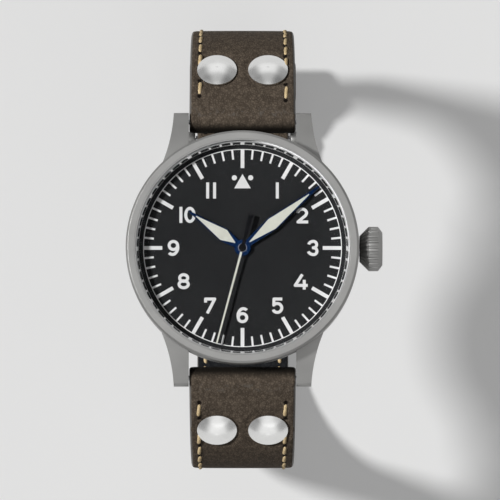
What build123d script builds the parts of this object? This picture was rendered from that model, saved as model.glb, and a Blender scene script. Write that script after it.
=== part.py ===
from build123d import *
import math
import os

# Pilot watch with a hand-wound movement on a two-piece riveted leather strap.
# Millimetres. +Z out of the dial, +Y towards 12 o'clock, +X towards the crown.
# The origin is the centre of the case back's outer face.

# The time that the hands show
show_hour = 10
show_minute = 8
show_second = 32.5

# General clearances and overruns
overrun = 1.0
slip = 0.05
face_gap = 0.1
soft_gap = 0.2

# Case middle and lugs
case_r = 19.4
case_wall = 1.35
case_foot_wall = 1.45
case_foot_z = 1.1
case_waist_z = 2.6
case_top_z = 6.6
case_flange_top_z = 2.5
lug_gap = 18.0
lug_root_half_w = 13.5
lug_root_in = 5.4
lug_mid_half_w = 12.2
lug_mid_in = 1.4
lug_tip_half_w = 11.5
lug_tip_past_bar = 1.4
lug_tip_top_z = 3.9
lug_tip_low_z = 0.4
lug_root_top_z = 6.3
lug_root_low_z = 1.9
lug_start_in = 7.4
lug_edge_fillet = 0.35

# Bezel, glass and the polished inner ring
bezel_lip = 0.08
bezel_top_z = 8.9
bezel_chamfer = 0.35
glass_gasket_w = 0.2
glass_low_z = 7.6
glass_top_z = 9.1
glass_chamfer = 0.2
rehaut_low_w = 0.8
rehaut_top_w = 0.25

# Case back
back_edge_in = 1.7
back_ring_in = 0.7
back_ring_wall = 0.9
back_ring_top_z = 2.4
back_edge_chamfer = 0.4
back_notch_count = 6
back_notch_w = 2.4
back_notch_depth = 0.9
back_gasket_in = 0.5
back_gasket_w = 0.35
back_gasket_t = 0.4

# Crown, stem and tube, all on the stem line
stem_z = 3.8
crown_r = 3.71
crown_gap = 0.15
crown_inner_r = 2.16
crown_cone_len = 1.55
crown_drum_len = 1.55
crown_nose_len = 0.73
crown_end_r = 2.75
crown_bore_r = 1.62
crown_end_t = 1.08
crown_flutes = 24
crown_flute_r = 0.26
crown_flute_depth = 0.2
tube_r = 1.2
tube_bore_r = 0.5
tube_out_len = 2.4
tube_in_len = 1.5
crown_gasket_in = 0.85
crown_gasket_w = 0.4
stem_r = 0.45
stem_start_x = 7.9
stem_square_end_x = 10.2
stem_square_w = 0.62
stem_boss_len = 0.6
sliding_pinion_x = 8.2
sliding_pinion_len = 1.5
winding_pinion_x = 10.3
winding_pinion_len = 1.2
keyless_pinion_r = 1.3
keyless_teeth = 16

# Movement: plates and bridges
movement_r = 12.8
plate_low_z = 4.3
plate_top_z = 5.0
plate_rim_w = 0.7
bridge_low_z = 2.3
bridge_top_z = 3.1
bridge_r = 12.6
bridge_foot_w = 0.35
keyless_slot_half_w = 1.6
keyless_slot_x = 7.3
keyless_slot_low_z = 2.35
keyless_slot_top_z = 5.2
centre_tube_r = 0.5
centre_tube_bore_r = 0.2
centre_tube_top_z = 6.4
balance_well_r = 4.7
cock_w = 2.6
cock_low_z = 2.0
cock_t = 0.35
cock_foot_r = 11.6
pivot_r = 0.1
pivot_len = 0.3

# Movement: wheel places, as plan points
barrel_at = (4.75, -5.7)
second_at = (4.35, 0.05)
third_at = (1.6, 3.05)
escape_at = (-3.4, 0.4)
fork_at = (-4.65, -1.65)
balance_at = (-6.2, -4.2)
crown_wheel_at = (7.35, -0.7)
minute_wheel_at = (-2.3, 2.3)

# Movement: wheel sizes
wheel_t = 0.12
tooth_depth = 0.16
arbor_r = 0.2
barrel_r = 4.8
barrel_teeth = 84
barrel_drum_r = 4.2
barrel_drum_wall = 0.25
barrel_low_z = 3.4
barrel_high_z = 4.2
barrel_rim_t = 0.25
barrel_arbor_r = 0.8
spring_coil_r = 3.8
second_r = 3.55
second_teeth = 80
second_pinion_r = 0.9
second_pinion_leaves = 12
second_z = 3.15
third_r = 3.0
third_teeth = 75
third_pinion_r = 0.45
third_pinion_leaves = 10
third_z = 3.45
fourth_r = 2.95
fourth_teeth = 80
fourth_pinion_r = 0.35
fourth_z = 3.7
fourth_arbor_r = 0.15
escape_r = 1.8
escape_teeth = 15
escape_tooth_depth = 0.5
escape_pinion_r = 0.35
escape_z = 3.95
ratchet_r = 3.4
ratchet_teeth = 48
ratchet_low_z = 2.0
ratchet_t = 0.2
crown_wheel_r = 2.15
crown_wheel_teeth = 30
fork_arm_w = 0.3
fork_arm_len = 2.4
fork_lever_len = 1.75
fork_stone_len = 0.6
fork_turn = 56.0
balance_rim_r = 3.9
balance_rim_w = 0.5
balance_low_z = 2.8
balance_t = 0.4
balance_spoke_w = 0.5
balance_hub_r = 0.6
roller_z = 3.5
roller_t = 0.12
hairspring_low_z = 2.5
hairspring_t = 0.1
hairspring_r = 2.2
cannon_low_z = 5.05
cannon_r = 0.72
cannon_bore_r = 0.55
cannon_leaf_r = 0.8
cannon_leaves = 12
cannon_leaf_t = 0.15
minute_wheel_r = 2.35
minute_wheel_teeth = 36
minute_pinion_r = 0.75
minute_pinion_leaves = 10
minute_post_r = 0.2
hour_wheel_r = 2.4
hour_wheel_teeth = 40
hour_wheel_low_z = 5.24
hour_pipe_r = 1.0
hour_pipe_bore_r = 0.77

# Movement ring and dial
dial_low_z = 5.45
dial_t = 0.4
dial_hole_r = 1.1
dial_foot_r = 0.35
dial_foot_len = 0.5
dial_foot_place_r = 11.6
dial_foot_angles = (60.0, 235.0)

# Dial print
print_t = 0.05
minute_circle_in = 0.6
minute_circle_w = 0.13
short_tick_len = 1.7
short_tick_w = 0.33
long_tick_len = 3.2
long_tick_w = 0.62
numeral_in = 5.35
numeral_h = 2.7
numeral_w = 1.95
numeral_stroke = 0.5
figure_gap = 0.28
bar_gap = 0.65
triangle_w = 2.75
triangle_in = 4.2
triangle_h = 2.4
dot_r = 0.43
dot_x = 1.36
dot_in = 4.83

# Hands
hand_t = 0.15
hour_hand_z = 6.2
hour_hand_short_by = 5.6
hour_hand_wide_at = 3.8
hour_lume_start = 1.5
hour_lume_tip = 1.6
minute_hand_z = 6.6
minute_hand_past = 0.05
minute_hand_wide_at = 6.3
minute_lume_start = 1.5
minute_lume_tip = 2.4
hand_w = 2.3
hand_root_w = 0.85
hand_tip_w = 0.12
hand_frame_w = 0.15
hour_hub_r = 1.35
minute_hub_r = 1.3
second_hand_z = 7.0
second_hand_past = 0.1
second_hand_w = 0.36
second_hand_tip_w = 0.26
second_hub_r = 0.66
second_lume_start = 0.8
second_lume_t = 0.05
counter_len = 5.7
counter_w = 0.85
counter_neck_w = 0.5

# Spring bars in the lugs and in the buckle
bar_case_gap = 2.1
bar_z = 2.0
bar_tube_r = 0.75
bar_tube_wall = 0.25
bar_tube_end_gap = 0.25
bar_pin_r = 0.45
bar_pin_tip_r = 0.4
bar_pin_in = 2.6
bar_pin_out = 1.0
lug_hole_depth = 1.15
lug_hole_r = 0.45

# Strap leather
strap_w_bar = 17.8
strap_w_base = 15.8
strap_t = 3.0
lining_t = 1.0
roll_r = 1.9
strap_bore_r = 0.8
upper_slope = 9.7
lower_slope = 20.0
upper_lean = 0.0
lower_lean = 7.0
shoulder_bend_r = 19.0
base_bend_r = 22.0
base_z = -62.0
upper_len = 75.0
tail_gap = 4.1
lining_start = 2.4
hole_count = 7
hole_r = 1.1
hole_pitch = 6.5
hole_from_tip = 22.0

# Strap rivets
rivet_at = 8.95
rivet_spacing = 8.57
rivet_head_r = 3.33
rivet_rim_t = 0.3
rivet_dome_h = 0.85
rivet_shank_r = 0.9
rivet_cap_r = 2.4
rivet_cap_t = 0.45

# Keepers
keeper_len = 4.2
keeper_wall = 0.9
keeper_tail_space = 3.3
fixed_keeper_back = 5.2
sliding_keeper_back = 10.6

# Buckle
buckle_half_w = 10.2
buckle_arm_w = 1.9
buckle_t = 2.0
buckle_reach = 9.5
buckle_bar_w = 2.0
buckle_corner_r = 1.2
buckle_roll_r = 1.5
buckle_eye_r = 1.45
tongue_w = 1.4
tongue_slot_w = 3.0
tongue_slot_r = 2.1
tongue_slot_back = 2.4
tongue_t = 0.8
tongue_eye_r = 1.35
tongue_len = 9.3

# Sizes that follow from those above
case_bore_r = case_r - case_wall
case_foot_r = case_r - case_foot_wall
bar_y = case_r + bar_case_gap
lug_root_y = case_r - lug_root_in
lug_mid_y = case_r - lug_mid_in
lug_inner_y = case_r - lug_start_in
lug_tip_y = bar_y + lug_tip_past_bar
bezel_r = case_r + bezel_lip
glass_r = case_bore_r - glass_gasket_w
ring_r = case_bore_r - slip
ring_bore_r = movement_r + face_gap
rehaut_low_r = ring_r - rehaut_low_w
rehaut_top_r = ring_r - rehaut_top_w
dial_r = ring_r - face_gap
back_r = case_r - back_edge_in
back_ring_r = back_r - back_ring_in
back_gasket_r = back_r - back_gasket_in
crown_inner_face_x = case_r + crown_gap
crown_cone_end_x = crown_inner_face_x + crown_cone_len
crown_side_end_x = crown_cone_end_x + crown_drum_len
crown_end_x = crown_side_end_x + crown_nose_len
crown_bore_end_x = crown_end_x - crown_end_t
crown_gasket_x = crown_inner_face_x + crown_gasket_in
tube_start_x = case_r - tube_in_len
tube_end_x = case_r + tube_out_len
stem_boss_end_x = crown_bore_end_x + stem_boss_len
minute_circle_r = rehaut_low_r - minute_circle_in
short_tick_in_r = minute_circle_r - short_tick_len
long_tick_in_r = minute_circle_r - long_tick_len
numeral_place_r = minute_circle_r - numeral_in
triangle_top_y = minute_circle_r - triangle_in
triangle_low_y = triangle_top_y - triangle_h
dot_y = minute_circle_r - dot_in
hour_hand_len = minute_circle_r - hour_hand_short_by
hour_lume_end = hour_hand_len - hour_lume_tip
minute_hand_len = minute_circle_r + minute_hand_past
minute_lume_end = minute_hand_len - minute_lume_tip
second_hand_len = minute_circle_r + second_hand_past

# Turns worked out from the time shown, clockwise degrees from 12 o'clock
turn_second = show_second * 360 / 60
turn_minute = (show_minute + show_second / 60) * 360 / 60
turn_hour = (show_hour + (show_minute + show_second / 60) / 60) * 360 / 12

dial_top_z = dial_low_z + dial_t


def disc(radius, low, high, at=(0, 0)):
    """Round disc between two heights, at a plan point."""
    return Pos(at[0], at[1], low) * extrude(Circle(radius), high - low)


def tube(outer, inner, low, high, at=(0, 0)):
    """Round tube between two heights."""
    return Pos(at[0], at[1], low) * extrude(Circle(outer) - Circle(inner), high - low)


def rod_x(radius, start, end, y=0, z=0):
    """Round rod along X between two places."""
    return Pos(start, y, z) * (Rot(0, 90, 0) * extrude(Circle(radius), end - start))


def block(x_low, x_high, y_low, y_high, z_low, z_high):
    """Box given by its six faces."""
    size = (x_high - x_low, y_high - y_low, z_high - z_low)
    middle = ((x_high + x_low) / 2, (y_high + y_low) / 2, (z_high + z_low) / 2)
    return Pos(*middle) * Box(*size)


def ring_of(points):
    """Solid turned round Z from (radius, height) corners."""
    outline = Polyline(*[(radius, 0, height) for radius, height in points], close=True)
    return revolve(make_face(outline), Axis.Z)


def turned_x(points, z):
    """Solid turned round the stem line from (x, radius) corners."""
    outline = Polyline(*[(x, 0, radius) for x, radius in points], close=True)
    return Pos(0, 0, z) * revolve(make_face(outline), Axis.X)


def wheel_face(radius, teeth, depth, root_share=0.7, tip_share=0.3):
    """Toothed outline whose tips stay on the stated radius."""
    pitch = 2 * math.pi / teeth
    corners = []
    for tooth in range(teeth):
        for reach, share in (
            (radius - depth, -root_share / 2),
            (radius, -tip_share / 2),
            (radius, tip_share / 2),
            (radius - depth, root_share / 2),
        ):
            angle = pitch * (tooth + share)
            corners.append((reach * math.cos(angle), reach * math.sin(angle)))
    return make_face(Polyline(*corners, close=True))


def wheel(radius, teeth, low, high, at=(0, 0), bore=0, depth=tooth_depth):
    """Flat toothed wheel between two heights."""
    face = wheel_face(radius, teeth, depth)
    if bore:
        face = face - Circle(bore)
    return Pos(at[0], at[1], low) * extrude(face, high - low)


def arbor(at, low, high):
    """Wheel arbor with a thin pivot at each end."""
    body = disc(arbor_r, low, high, at)
    return body + disc(pivot_r, low - pivot_len, high + pivot_len, at)


def clock(turn):
    """Rotation that sends a hand drawn towards 12 o'clock to its turn."""
    return Rot(0, 0, -turn)


# Strap path: each half starts at its spring bar and goes round to the back.
# A path is a list of (kind, bend radius, length) pieces in the side view.

def strap_path(slope, lean):
    """Path of one half up to the flat base: shoulder bend, straight that leans inwards, base bend."""
    lean_share = math.sin(math.radians(lean))
    shoulder_drop = shoulder_bend_r * (math.cos(math.radians(slope)) + lean_share)
    base_drop = base_bend_r * (1 - lean_share)
    straight_drop = bar_z - base_z - shoulder_drop - base_drop
    return [
        (shoulder_bend_r, shoulder_bend_r * math.radians(90 + lean - slope)),
        (0, straight_drop / math.cos(math.radians(lean))),
        (base_bend_r, base_bend_r * math.radians(90 - lean)),
    ]


def path_length(path):
    """Length of a path."""
    return sum(length for bend, length in path)


def path_point(path, slope, along, offset=0.0):
    """Point (y, z) and heading in radians at a length along the path."""
    y, z, heading = bar_y, bar_z, -math.radians(slope)
    left = along
    for bend, length in path:
        step = min(left, length)
        if bend:
            turned = heading - step / bend
            y += bend * (math.sin(heading) - math.sin(turned))
            z += bend * (math.cos(turned) - math.cos(heading))
            heading = turned
        else:
            y += step * math.cos(heading)
            z += step * math.sin(heading)
        left -= step
        if left <= 0:
            break
    if left > 0:
        y += left * math.cos(heading)
        z += left * math.sin(heading)
    return (y - offset * math.sin(heading), z + offset * math.cos(heading), heading)


def lane(path, slope, side, start, end, offset):
    """Edges of one line beside the path, on the +Y side (1) or the -Y side (-1)."""
    edges = []
    walked = 0.0
    stretches = path + [(0, max(end - path_length(path), 0))]
    for bend, length in stretches:
        low = max(walked, start)
        high = min(walked + length, end)
        walked += length
        if high - low < slip / 2:
            continue
        places = []
        for along in (low, (low + high) / 2, high):
            y, z, heading = path_point(path, slope, along, offset)
            places.append((0, side * y, z))
        if bend:
            edges.append(ThreePointArc(*places))
        else:
            edges.append(Line(places[0], places[2]))
    return edges


def ribbon(path, slope, side, start, end, low, high):
    """Strap layer between two offsets, tapered in width towards the base."""
    outer = lane(path, slope, side, start, end, high)
    inner = lane(path, slope, side, start, end, low)
    first = Line(inner[0] @ 0, outer[0] @ 0)
    last = Line(outer[-1] @ 1, inner[-1] @ 1)
    face = make_face(outer + [last] + inner + [first])
    return extrude(face, strap_w_bar, dir=(1, 0, 0), both=True) & taper_block()


def half_width(z):
    """Half of the strap's width at a height."""
    share = (bar_z - z) / (bar_z - base_z)
    return (strap_w_bar + (strap_w_base - strap_w_bar) * share) / 2


def taper_block():
    """Space that trims the strap's sides to their taper."""
    top = bar_z + strap_w_bar
    low = base_z - strap_t
    corners = (
        (-half_width(bar_z), 0, top),
        (half_width(bar_z), 0, top),
        (half_width(bar_z), 0, bar_z),
        (half_width(low), 0, low),
        (-half_width(low), 0, low),
        (-half_width(bar_z), 0, bar_z),
    )
    reach = 2 * bar_y + 2 * shoulder_bend_r
    return extrude(make_face(Polyline(*corners, close=True)), reach, dir=(0, 1, 0), both=True)


def station(path, slope, side, along, x=0.0, offset=0.0):
    """Place on the strap whose Z axis points out of the leather."""
    y, z, heading = path_point(path, slope, along, offset)
    normal = (0, -side * math.sin(heading), math.cos(heading))
    return Plane(origin=(x, side * y, z), x_dir=(1, 0, 0), z_dir=normal)


parts = {}

# Case middle: turned ring with an inner flange for the back, four lugs and their bar holes
case_profile = (
    (back_ring_r + slip, case_foot_z),
    (case_foot_r, case_foot_z),
    (case_r, case_waist_z),
    (case_r, case_top_z),
    (case_bore_r, case_top_z),
    (case_bore_r, case_flange_top_z),
    (back_ring_r + slip, case_flange_top_z),
)
case_middle = ring_of(case_profile)


def lug(side_x, side_y_sign):
    """One lug: plan outline cut by its side outline, with rounded long edges."""
    inner = lug_gap / 2
    plan = make_face([
        Line((inner, lug_inner_y), (lug_root_half_w, lug_inner_y)),
        Line((lug_root_half_w, lug_inner_y), (lug_root_half_w, lug_root_y)),
        ThreePointArc(
            (lug_root_half_w, lug_root_y), (lug_mid_half_w, lug_mid_y), (lug_tip_half_w, lug_tip_y)
        ),
        Line((lug_tip_half_w, lug_tip_y), (inner, lug_tip_y)),
        Line((inner, lug_tip_y), (inner, lug_inner_y)),
    ])
    bow_y = (lug_inner_y + lug_tip_y) / 2
    bow_top = (lug_root_top_z + lug_tip_top_z) / 2 + lug_edge_fillet
    bow_low = (lug_root_low_z + lug_tip_low_z) / 2 + lug_edge_fillet
    side = make_face([
        Line((0, lug_inner_y, lug_root_low_z), (0, lug_inner_y, lug_root_top_z)),
        ThreePointArc(
            (0, lug_inner_y, lug_root_top_z), (0, bow_y, bow_top), (0, lug_tip_y, lug_tip_top_z)
        ),
        Line((0, lug_tip_y, lug_tip_top_z), (0, lug_tip_y, lug_tip_low_z)),
        ThreePointArc(
            (0, lug_tip_y, lug_tip_low_z), (0, bow_y, bow_low), (0, lug_inner_y, lug_root_low_z)
        ),
    ])
    body = extrude(plan, case_top_z) & extrude(side, lug_root_half_w + overrun, dir=(1, 0, 0))
    tip_edges = body.edges().filter_by(Axis.X).sort_by(Axis.Y)[-2:]
    body = fillet(tip_edges, 2 * lug_edge_fillet)
    if side_x < 0:
        body = mirror(body, Plane.YZ)
    if side_y_sign < 0:
        body = mirror(body, Plane.XZ)
    return body


for side_x in (1, -1):
    for side_y_sign in (1, -1):
        lug_body = lug(side_x, side_y_sign)
        lug_body -= disc(case_bore_r + slip, lug_tip_low_z - overrun, case_top_z)
        hole = rod_x(lug_hole_r, 0, lug_gap / 2 + lug_hole_depth)
        if side_x < 0:
            hole = mirror(hole, Plane.YZ)
        case_middle += lug_body
        case_middle -= Pos(0, side_y_sign * bar_y, bar_z) * hole
case_middle -= rod_x(tube_r, tube_start_x - overrun, case_r + overrun, z=stem_z)
parts["case_middle"] = case_middle

# Bezel: plain ring with a chamfered outer edge
parts["bezel"] = ring_of((
    (case_bore_r, case_top_z),
    (bezel_r, case_top_z),
    (bezel_r, bezel_top_z - bezel_chamfer),
    (bezel_r - bezel_chamfer, bezel_top_z),
    (case_bore_r, bezel_top_z),
))

# Flat glass with a chamfered edge, the gasket round it and the polished ring below it
parts["glass"] = ring_of((
    (0, glass_low_z),
    (glass_r, glass_low_z),
    (glass_r, glass_top_z - glass_chamfer),
    (glass_r - glass_chamfer, glass_top_z),
    (0, glass_top_z),
))
parts["glass_gasket"] = tube(case_bore_r, glass_r, glass_low_z, bezel_top_z)
parts["rehaut_ring"] = ring_of((
    (rehaut_low_r, dial_top_z),
    (ring_r, dial_top_z),
    (ring_r, glass_low_z),
    (rehaut_top_r, glass_low_z),
))

# Case back: disc with a threaded ring, six wrench notches and a groove for its gasket
back = ring_of((
    (0, 0),
    (back_r - back_edge_chamfer, 0),
    (back_r, back_edge_chamfer),
    (back_r, case_foot_z),
    (0, case_foot_z),
))
back += tube(back_ring_r, back_ring_r - back_ring_wall, case_foot_z, back_ring_top_z)
gasket_groove = tube(
    back_gasket_r + back_gasket_w, back_gasket_r, case_foot_z - back_gasket_t, case_foot_z
)
back -= gasket_groove
for notch in range(back_notch_count):
    cut = block(
        back_r - back_notch_depth, back_r + overrun,
        -back_notch_w / 2, back_notch_w / 2,
        -overrun, case_foot_z - back_gasket_t - face_gap,
    )
    back -= Rot(0, 0, notch * 360 / back_notch_count) * cut
parts["case_back"] = back
parts["case_back_gasket"] = gasket_groove

# Crown: fluted cone and drum with a blind bore that turns and slides over the tube
crown = turned_x((
    (crown_inner_face_x, 0),
    (crown_inner_face_x, crown_inner_r),
    (crown_cone_end_x, crown_r),
    (crown_side_end_x, crown_r),
    (crown_end_x, crown_end_r),
    (crown_end_x, 0),
), stem_z)
flute_lift = crown_flute_r - crown_flute_depth
cone_turn = math.degrees(math.atan2(crown_r - crown_inner_r, crown_cone_len))
drum_flute = rod_x(crown_flute_r, crown_cone_end_x, crown_end_x + overrun, z=crown_r + flute_lift)
cone_flute = Rot(0, -cone_turn, 0) * rod_x(crown_flute_r, -2 * crown_cone_len, 0, z=flute_lift)
flute_cut = drum_flute + Pos(crown_cone_end_x, 0, crown_r) * cone_flute
for flute in range(crown_flutes):
    crown -= Pos(0, 0, stem_z) * (Rot(flute * 360 / crown_flutes, 0, 0) * flute_cut)
crown -= rod_x(tube_r + 2 * slip, crown_inner_face_x - overrun, crown_bore_end_x, z=stem_z)
gasket_seat = (
    rod_x(crown_bore_r, crown_gasket_x, crown_gasket_x + crown_gasket_w, z=stem_z)
    - rod_x(tube_r + slip, crown_gasket_x, crown_gasket_x + crown_gasket_w, z=stem_z)
)
crown -= rod_x(crown_bore_r, crown_gasket_x, crown_gasket_x + crown_gasket_w, z=stem_z)
crown -= rod_x(stem_r, crown_bore_end_x - overrun, stem_boss_end_x, z=stem_z)
parts["crown"] = crown
parts["crown_gasket"] = gasket_seat
parts["crown_tube"] = (
    rod_x(tube_r, tube_start_x, tube_end_x, z=stem_z)
    - rod_x(tube_bore_r, tube_start_x - overrun, tube_end_x + overrun, z=stem_z)
) - disc(case_bore_r, 0, case_top_z)

# Winding stem: square end in the sliding pinion, round end pressed into the crown
square = block(
    stem_start_x, stem_square_end_x, -stem_square_w / 2, stem_square_w / 2,
    stem_z - stem_square_w / 2, stem_z + stem_square_w / 2,
)
parts["winding_stem"] = square + rod_x(stem_r, stem_square_end_x, stem_boss_end_x, z=stem_z)


def keyless_pinion(start, length, bore):
    """Small toothed pinion on the stem line."""
    body = extrude(wheel_face(keyless_pinion_r, keyless_teeth, tooth_depth), length)
    return (Pos(start, 0, stem_z) * (Rot(0, 90, 0) * body)) - bore


square_bore_w = stem_square_w + 2 * slip
square_bore = block(
    sliding_pinion_x - overrun, sliding_pinion_x + sliding_pinion_len + overrun,
    -square_bore_w / 2, square_bore_w / 2,
    stem_z - square_bore_w / 2, stem_z + square_bore_w / 2,
)
parts["sliding_pinion"] = keyless_pinion(sliding_pinion_x, sliding_pinion_len, square_bore)
round_bore = rod_x(
    stem_r + slip, winding_pinion_x - overrun,
    winding_pinion_x + winding_pinion_len + overrun, z=stem_z,
)
parts["winding_pinion"] = keyless_pinion(winding_pinion_x, winding_pinion_len, round_bore)

# Movement ring between the movement and the case, open where the stem passes
stem_way = rod_x(stem_r + soft_gap, movement_r - overrun, case_bore_r + overrun, z=stem_z)
parts["movement_ring"] = tube(ring_r, ring_bore_r, case_flange_top_z, dial_low_z) - stem_way

# Main plate: plate, rim, centre tube, minute wheel post, pivot holes and the stem's slot
keyless_slot = block(
    keyless_slot_x, movement_r + overrun, -keyless_slot_half_w, keyless_slot_half_w,
    keyless_slot_low_z, keyless_slot_top_z,
)
plate = disc(movement_r, plate_low_z, plate_top_z)
plate += tube(movement_r, movement_r - plate_rim_w, plate_top_z, dial_low_z)
plate += disc(centre_tube_r, plate_top_z, centre_tube_top_z)
plate -= disc(centre_tube_bore_r, plate_low_z - overrun, centre_tube_top_z + overrun)
plate += disc(minute_post_r, plate_top_z, dial_low_z - slip, minute_wheel_at)
plate -= keyless_slot
pivot_places = (second_at, third_at, escape_at, fork_at, balance_at)
for place in pivot_places:
    plate -= disc(pivot_r + slip / 2, plate_low_z - overrun, plate_low_z + pivot_len + slip, place)
plate -= disc(barrel_arbor_r / 2 + slip, plate_low_z - overrun, plate_low_z + pivot_len + slip, barrel_at)
foot_places = []
for angle in dial_foot_angles:
    place_r = dial_foot_place_r
    foot_places.append((
        place_r * math.cos(math.radians(angle)), place_r * math.sin(math.radians(angle))
    ))
for place in foot_places:
    plate -= disc(dial_foot_r + slip, dial_low_z - dial_foot_len - slip, plate_top_z + overrun, place)
parts["main_plate"] = plate

# Train bridge: cover over the wheels with a foot on the plate, open round the balance
balance_well = disc(balance_well_r, cock_low_z - overrun, plate_low_z + overrun, balance_at)
bridge = disc(bridge_r, bridge_low_z, bridge_top_z)
bridge += tube(bridge_r, bridge_r - bridge_foot_w, bridge_top_z, plate_low_z)
cock_reach = math.hypot(*balance_at)
cock_angle = math.degrees(math.atan2(balance_at[1], balance_at[0]))
cock_bay = Rot(0, 0, cock_angle) * block(
    cock_reach, movement_r + overrun, -balance_well_r, balance_well_r,
    cock_low_z - overrun, plate_low_z + overrun,
)
bridge = bridge - balance_well - cock_bay - keyless_slot
for place in (second_at, third_at, escape_at, (0, 0)):
    bridge -= disc(pivot_r + slip / 2, bridge_top_z - pivot_len - slip, bridge_top_z + overrun, place)
bridge -= disc(barrel_arbor_r / 2 + slip, bridge_low_z - overrun, bridge_top_z + overrun, barrel_at)
bridge -= disc(arbor_r + slip, bridge_low_z - overrun, bridge_low_z + pivot_len, crown_wheel_at)
parts["train_bridge"] = bridge

# Balance cock: arm over the balance with its own foot on the plate
cock = block(
    cock_reach - balance_hub_r, bridge_r, -cock_w / 2, cock_w / 2, cock_low_z, cock_low_z + cock_t
)
cock += disc(cock_w / 2, cock_low_z, cock_low_z + cock_t, (cock_reach, 0))
cock += block(cock_foot_r, bridge_r - slip, -cock_w / 2, cock_w / 2, cock_low_z + cock_t, plate_low_z)
cock = Rot(0, 0, cock_angle) * cock
cock -= disc(pivot_r + slip / 2, cock_low_z - overrun, cock_low_z + cock_t + overrun, balance_at)
parts["balance_cock"] = cock


def train_wheel(at, radius, teeth, low, pinion_r, leaves, pinion_low):
    """Wheel and pinion on one arbor between the bridge and the plate."""
    body = wheel(radius, teeth, low, low + wheel_t, at)
    body += arbor(at, bridge_top_z + slip, plate_low_z - slip)
    body += wheel(pinion_r, leaves, pinion_low, plate_low_z - slip, at)
    return body


# Barrel: hollow drum with a toothed rim, its coiled spring and its arbor
drum = tube(barrel_drum_r, barrel_arbor_r + slip, barrel_low_z, barrel_high_z, barrel_at)
drum -= tube(
    barrel_drum_r - barrel_drum_wall, barrel_arbor_r,
    barrel_low_z + barrel_drum_wall, barrel_high_z - barrel_drum_wall, barrel_at,
)
rim = wheel(barrel_r, barrel_teeth, barrel_high_z - barrel_rim_t, barrel_high_z, barrel_at)
rim -= disc(barrel_drum_r - slip, barrel_low_z, barrel_high_z + overrun, barrel_at)
parts["barrel"] = drum + rim
parts["mainspring"] = tube(
    spring_coil_r, barrel_arbor_r + slip,
    barrel_low_z + barrel_drum_wall + slip, barrel_high_z - barrel_drum_wall - slip, barrel_at,
)
parts["barrel_arbor"] = disc(
    barrel_arbor_r, bridge_top_z + slip, plate_low_z - slip, barrel_at
) + disc(barrel_arbor_r / 2, ratchet_low_z, plate_low_z + pivot_len, barrel_at)
ratchet_top_z = ratchet_low_z + ratchet_t
parts["ratchet_wheel"] = wheel(
    ratchet_r, ratchet_teeth, ratchet_low_z, ratchet_top_z, barrel_at, barrel_arbor_r / 2
)
parts["crown_wheel"] = wheel(
    crown_wheel_r, crown_wheel_teeth, ratchet_low_z, ratchet_top_z, crown_wheel_at
) + disc(arbor_r, ratchet_top_z, bridge_low_z + pivot_len - slip, crown_wheel_at)

# Going train
parts["second_wheel"] = train_wheel(
    second_at, second_r, second_teeth, second_z, second_pinion_r, second_pinion_leaves,
    barrel_high_z - barrel_rim_t,
)
parts["third_wheel"] = train_wheel(
    third_at, third_r, third_teeth, third_z, third_pinion_r, third_pinion_leaves, third_z + wheel_t
)
fourth = wheel(fourth_r, fourth_teeth, fourth_z, fourth_z + wheel_t)
fourth += disc(fourth_pinion_r, bridge_top_z + slip, fourth_z)
fourth += disc(pivot_r, bridge_top_z - pivot_len, bridge_top_z + slip)
fourth += disc(fourth_arbor_r, fourth_z, second_hand_z)
parts["fourth_wheel"] = fourth
escape = wheel(
    escape_r, escape_teeth, escape_z, escape_z + wheel_t, escape_at, depth=escape_tooth_depth
)
escape += arbor(escape_at, bridge_top_z + slip, plate_low_z - slip)
escape += disc(escape_pinion_r, fourth_z - wheel_t, escape_z, escape_at)
parts["escape_wheel"] = escape

# Pallet fork: lever towards the balance, two arms with stones towards the escape wheel
fork = block(
    -fork_lever_len, 0, -fork_arm_w / 2, fork_arm_w / 2, escape_z, escape_z + wheel_t
)
fork += block(
    -fork_arm_w / 2, fork_arm_w / 2, -fork_arm_len / 2, fork_arm_len / 2, escape_z, escape_z + wheel_t
)
for end in (1, -1):
    stone_y = end * (fork_arm_len - fork_arm_w) / 2
    fork += block(
        0, fork_stone_len, stone_y - fork_arm_w / 2, stone_y + fork_arm_w / 2,
        escape_z, escape_z + wheel_t,
    )
fork += disc(arbor_r, escape_z, plate_low_z - slip)
fork += disc(pivot_r, escape_z, plate_low_z + pivot_len)
parts["pallet_fork"] = Pos(fork_at[0], fork_at[1], 0) * (Rot(0, 0, fork_turn) * fork)

# Balance: rim, two spokes, staff and roller, with its hairspring
balance_top_z = balance_low_z + balance_t
balance = tube(balance_rim_r, balance_rim_r - balance_rim_w, balance_low_z, balance_top_z)
balance += block(
    -balance_rim_r + balance_rim_w / 2, balance_rim_r - balance_rim_w / 2,
    -balance_spoke_w / 2, balance_spoke_w / 2, balance_low_z, balance_top_z - balance_t / 2,
)
balance += disc(balance_hub_r, roller_z, roller_z + roller_t)
balance += disc(arbor_r, cock_low_z + cock_t + slip, plate_low_z - slip)
balance += disc(pivot_r, cock_low_z + slip, plate_low_z + pivot_len)
parts["balance_wheel"] = Pos(balance_at[0], balance_at[1], 0) * balance
parts["hairspring"] = tube(
    hairspring_r, arbor_r, hairspring_low_z, hairspring_low_z + hairspring_t, balance_at
)

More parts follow.
